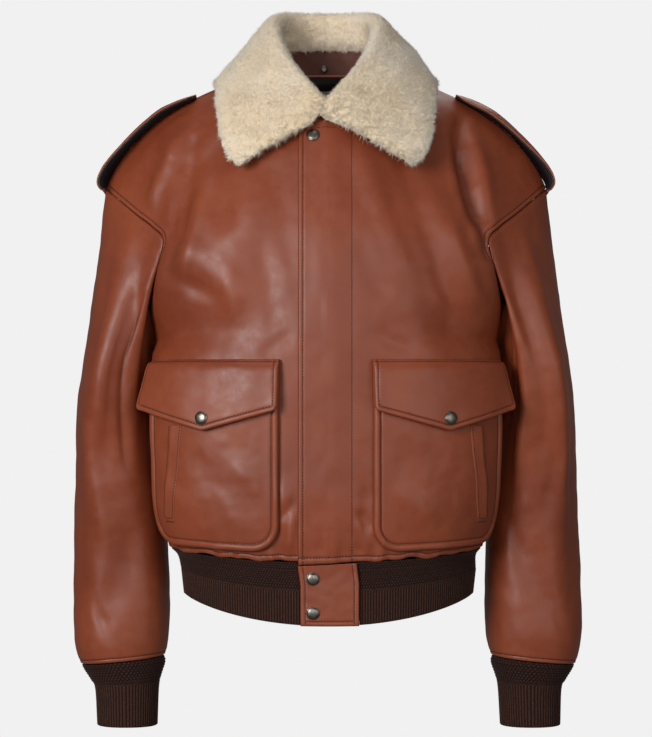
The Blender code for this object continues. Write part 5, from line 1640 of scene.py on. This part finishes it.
# ---------------------------------------------------------------- snaps
SNAP_PROFILE = [
    # radius  height, as shares of the cap
    (0.0, 1.0), (0.3, 0.97), (0.55, 0.88), (0.74, 0.74), (0.84, 0.6), (0.88, 0.5), (0.91, 0.46), (0.95, 0.46),
    (0.985, 0.38), (1.0, 0.26), (1.0, 0.1), (0.97, 0.0), (0.0, 0.0),
]
SNAP_WEAR = [0.5, 0.45, 0.35, 0.25, 0.1, 0.0, 0.0, 0.25, 0.35, 0.15, 0.0, 0.0, 0.0]
SNAPS = [
    # node, radius, the skin that it sits on
    ("snap_neck", SNAP_RADIUS, "leather_front_left"),
    ("snap_hem_upper", SNAP_RADIUS, "leather_hem_tab"),
    ("snap_hem_lower", SNAP_RADIUS, "leather_hem_tab"),
    ("snap_stand", 4.6, "leather_collar_stand"),
    ("snap_pocket_left", SNAP_RADIUS, "leather_flap_left"),
    ("snap_pocket_right", SNAP_RADIUS, "leather_flap_right"),
]


def make_snaps():
    for node_name, radius, skin in SNAPS:
        low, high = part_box(node_name)
        middle = (low + high) / 2 / MM
        spot, normal, _, _ = tree_of(bpy.data.objects[skin]).find_nearest(middle)
        if normal.y > 0:
            normal = -normal
        bm = bmesh.new()
        wear = bm.verts.layers.float.new("wear")
        line = [bm.verts.new((r, 0, h)) for r, h in SNAP_PROFILE]
        for v, share in zip(line, SNAP_WEAR):
            v[wear] = share
        edges = [bm.edges.new(pair) for pair in zip(line, line[1:])]
        bmesh.ops.spin(bm, geom=line + edges, cent=(0, 0, 0), axis=(0, 0, 1), angle=2 * math.pi, steps=40,
                       use_merge=True)
        bmesh.ops.remove_doubles(bm, verts=bm.verts, dist=1e-5)
        height = 3.0 if radius > 5 else 2.4
        bmesh.ops.scale(bm, verts=bm.verts, vec=(radius * MM, radius * MM, height * MM))
        turn = normal.to_track_quat("Z", "Y").to_matrix()
        bmesh.ops.rotate(bm, verts=bm.verts, cent=(0, 0, 0), matrix=turn)
        bmesh.ops.translate(bm, verts=bm.verts, vec=(spot + normal * 0.1) * MM)
        bmesh.ops.recalc_face_normals(bm, faces=bm.faces)
        cap = new_object("cap_" + node_name, bm, material_for("metal"))
        finish_piece(cap, "snap_metal", node_name)


def make_stitches():
    bm = bmesh.new()
    bmesh.ops.create_uvsphere(bm, u_segments=4, v_segments=3, radius=1.0)
    turn = Vector((1, 0, 0)).to_track_quat("Z", "Y").to_matrix()
    bmesh.ops.rotate(bm, verts=bm.verts, cent=(0, 0, 0), matrix=turn)
    template = template_of(bm)
    for group in sorted(STITCHES):
        places = np.array([[list(v) for v in row] for row in STITCHES[group]])
        thread = copies("topstitch_" + group, template, places, material_for("thread"))
        finish_piece(thread, "tan_leather")


# ---------------------------------------------------------------- stage
def make_stage():
    scene = bpy.context.scene
    room = scene.studio
    bm = bmesh.new()
    bmesh.ops.create_circle(bm, cap_ends=True, segments=96, radius=14.0)
    bmesh.ops.translate(bm, verts=bm.verts, vec=(0, 0, FLOOR_Z))
    floor = new_object("stage_paper", bm, material_for("paper"))
    floor.visible_glossy = False
    floor.visible_diffuse = False
    world = bpy.data.worlds.new("studio_air")
    world.use_nodes = True
    tree = world.node_tree
    seen = add(tree, "Background", {"Color": linear(PAPER), "Strength": 1.0})[0]
    air = add(tree, "Background", {"Color": (1, 1, 1, 1), "Strength": room.ambient})[0]
    camera_sees = add(tree, "LightPath")["Is Camera Ray"]
    mixed = add(tree, "MixShader", {0: camera_sees, 1: air, 2: seen})[0]
    tree.links.new(mixed, tree.nodes["World Output"].inputs["Surface"])
    scene.world = world
    for name, place, size, power, target in (
            ("key_softbox", (-1.8, -2.8, 0.25), 1.3, room.key, (0, 0, -0.3)),
            ("fill_softbox", (1.9, -3.2, 0.1), 1.8, room.key * 0.3, (0, 0, -0.35)),
            ("front_softbox", (0.15, -3.6, -0.05), 0.6, room.key * 0.16, (0, 0, -0.1)),
            ("top_softbox", (-0.2, -0.4, 2.3), 1.2, room.key * 0.14, (0, 0, -0.2)),
            ("back_softbox", (0.5, 2.4, 2.6), 1.8, room.key * 0.5, (0, 0, -0.3))):
        light = bpy.data.lights.new(name, "AREA")
        light.energy, light.size = power, size
        obj = bpy.data.objects.new(name, light)
        obj.location = place
        obj.rotation_euler = (Vector(target) - Vector(place)).to_track_quat("-Z", "Y").to_euler()
        obj.visible_camera = False
        scene.collection.objects.link(obj)
    camera = bpy.data.cameras.new("photo_camera")
    camera.sensor_width = 36.0
    camera.lens = 36.0 * room.distance / room.frame_height
    camera.clip_end = 30.0
    obj = bpy.data.objects.new("photo_camera", camera)
    obj.location = (0.0, -room.distance, room.camera_height)
    obj.rotation_euler = (math.pi / 2, 0, 0)
    scene.collection.objects.link(obj)
    scene.camera = obj
    scene.view_settings.view_transform = "Standard"


# ---------------------------------------------------------------- add-on
class ShearlingSettings(bpy.types.PropertyGroup):
    """Sizes of the collar's fleece."""
    hairs: IntProperty(name="Hairs on a side", description="Clipped hairs on each half of the collar",
                       default=52000, min=1000, max=60000)


class SewingSettings(bpy.types.PropertyGroup):
    """Sizes of the topstitching."""
    pitch: FloatProperty(name="Stitch pitch", description="From one stitch to the next", default=3.35 * MM,
                         min=MM, unit="LENGTH")


def dye(name, description, color):
    return FloatVectorProperty(name=name, description=description, default=linear(color), size=4,
                               min=0.0, max=1.0, subtype="COLOR")


class DyeSettings(bpy.types.PropertyGroup):
    """Colours of the leather, the knit, the fleece and the thread."""
    leather_dark: dye("Leather, dark", "The darker of the hide's two tones", "#7C3820")
    leather_light: dye("Leather, light", "The lighter of the hide's two tones", "#8D4428")
    leather_rubbed: dye("Leather, rubbed", "On ridges and turned edges", "#A05637")
    # The deep tone is painted shade in the hollows, and the dark of the seam grooves.
    leather_deep: dye("Leather, deep", "In hollows and grooves", "#421709")
    # The knit's two tones paint shade between the ribs and light on them.
    knit_dark: dye("Knit, dark", "Between the ribs", "#080303")
    knit_light: dye("Knit, light", "On the ribs", "#583629")
    fleece_root: dye("Fleece, root", "Deep in the wool", "#DCC6A2")
    fleece_middle: dye("Fleece, middle", "Along the wool", "#EEDDC1")
    fleece_tip: dye("Fleece, tip", "At the clipped ends", "#F8EFE0")
    # The thread's near-black tone also paints the shade of its stitch holes.
    thread: dye("Thread", "The darker of the thread's two tones", "#250B06")


class StudioSettings(bpy.types.PropertyGroup):
    """The camera and the light that the jacket is shown in."""
    distance: FloatProperty(name="Camera distance", description="From the jacket's own plane", default=3.5,
                            unit="LENGTH")
    frame_height: FloatProperty(name="Frame height", description="Height of the view at the jacket's plane",
                                default=0.855, unit="LENGTH")
    camera_height: FloatProperty(name="Camera height", description="Above the side neck points",
                                 default=-0.3405, unit="LENGTH")
    key: FloatProperty(name="Key light", description="Power of the main softbox", default=78.0, unit="POWER")
    ambient: FloatProperty(name="Ambient light", description="Strength of the air's own light", default=0.13)


class JACKET_OT_back(bpy.types.Operator):
    """Builds the back from its rows."""
    bl_idname = "jacket.back"
    bl_label = "Back"

    def execute(self, context):
        make_back()
        return {"FINISHED"}


class JACKET_OT_fronts(bpy.types.Operator):
    """Builds both fronts and the fly."""
    bl_idname = "jacket.fronts"
    bl_label = "Fronts"

    def execute(self, context):
        make_fronts()
        return {"FINISHED"}


class JACKET_OT_sleeves(bpy.types.Operator):
    """Builds both sleeves."""
    bl_idname = "jacket.sleeves"
    bl_label = "Sleeves"

    def execute(self, context):
        make_sleeves()
        return {"FINISHED"}


class JACKET_OT_pockets(bpy.types.Operator):
    """Builds the patch pockets with their welts and flaps."""
    bl_idname = "jacket.pockets"
    bl_label = "Pockets"

    def execute(self, context):
        make_pockets()
        return {"FINISHED"}


class JACKET_OT_knits(bpy.types.Operator):
    """Knits the waistband and the cuffs."""
    bl_idname = "jacket.knits"
    bl_label = "Waistband and cuffs"

    def execute(self, context):
        make_knits()
        return {"FINISHED"}


class JACKET_OT_hem_tab(bpy.types.Operator):
    """Builds the tab that closes the waistband."""
    bl_idname = "jacket.hem_tab"
    bl_label = "Hem tab"

    def execute(self, context):
        make_tab()
        return {"FINISHED"}


class JACKET_OT_collar(bpy.types.Operator):
    """Builds the shearling collar, its underside and its stand."""
    bl_idname = "jacket.collar"
    bl_label = "Collar"

    def execute(self, context):
        make_collar()
        return {"FINISHED"}


class JACKET_OT_lining(bpy.types.Operator):
    """Builds the lining strip and its bare label."""
    bl_idname = "jacket.lining"
    bl_label = "Neck lining"

    def execute(self, context):
        make_lining()
        return {"FINISHED"}


class JACKET_OT_straps(bpy.types.Operator):
    """Builds both shoulder straps."""
    bl_idname = "jacket.straps"
    bl_label = "Shoulder straps"

    def execute(self, context):
        make_straps()
        return {"FINISHED"}


class JACKET_OT_snaps(bpy.types.Operator):
    """Turns the snap caps."""
    bl_idname = "jacket.snaps"
    bl_label = "Snap caps"

    def execute(self, context):
        make_snaps()
        return {"FINISHED"}


class JACKET_OT_stitches(bpy.types.Operator):
    """Lays the stitches that the other pieces asked for."""
    bl_idname = "jacket.stitches"
    bl_label = "Topstitching"

    def execute(self, context):
        make_stitches()
        return {"FINISHED"}


class JACKET_OT_studio(bpy.types.Operator):
    """Sets the paper, the light and the camera."""
    bl_idname = "jacket.studio"
    bl_label = "Studio"

    def execute(self, context):
        make_stage()
        return {"FINISHED"}


OPERATORS = [JACKET_OT_back, JACKET_OT_fronts, JACKET_OT_sleeves, JACKET_OT_pockets,
             JACKET_OT_knits, JACKET_OT_hem_tab, JACKET_OT_collar, JACKET_OT_lining,
             JACKET_OT_straps, JACKET_OT_snaps, JACKET_OT_stitches, JACKET_OT_studio]


class JACKET_PT_panel(bpy.types.Panel):
    """Lists the jacket's pieces in the sidebar."""
    bl_label = "Bomber jacket"
    bl_idname = "JACKET_PT_panel"
    bl_space_type = "VIEW_3D"
    bl_region_type = "UI"
    bl_category = "Jacket"

    def draw(self, context):
        for kind in OPERATORS:
            self.layout.operator(kind.bl_idname)
        for group, settings in GROUPS.items():
            for name in settings.__annotations__:
                self.layout.prop(getattr(context.scene, group), name)


GROUPS = {"shearling": ShearlingSettings, "sewing": SewingSettings, "dyes": DyeSettings,
          "studio": StudioSettings}
CLASSES = [*GROUPS.values(), *OPERATORS, JACKET_PT_panel]


def register():
    for kind in CLASSES:
        bpy.utils.register_class(kind)
    for group, settings in GROUPS.items():
        setattr(bpy.types.Scene, group, PointerProperty(type=settings))


def unregister():
    for group in GROUPS:
        delattr(bpy.types.Scene, group)
    for kind in reversed(CLASSES):
        bpy.utils.unregister_class(kind)


def main():
    register()
    for kind in OPERATORS:
        if getattr(bpy.ops.jacket, kind.bl_idname.split(".")[1])() != {"FINISHED"}:
            raise RuntimeError(kind.bl_label + " wasn't finished")


if __name__ == "__main__":
    main()
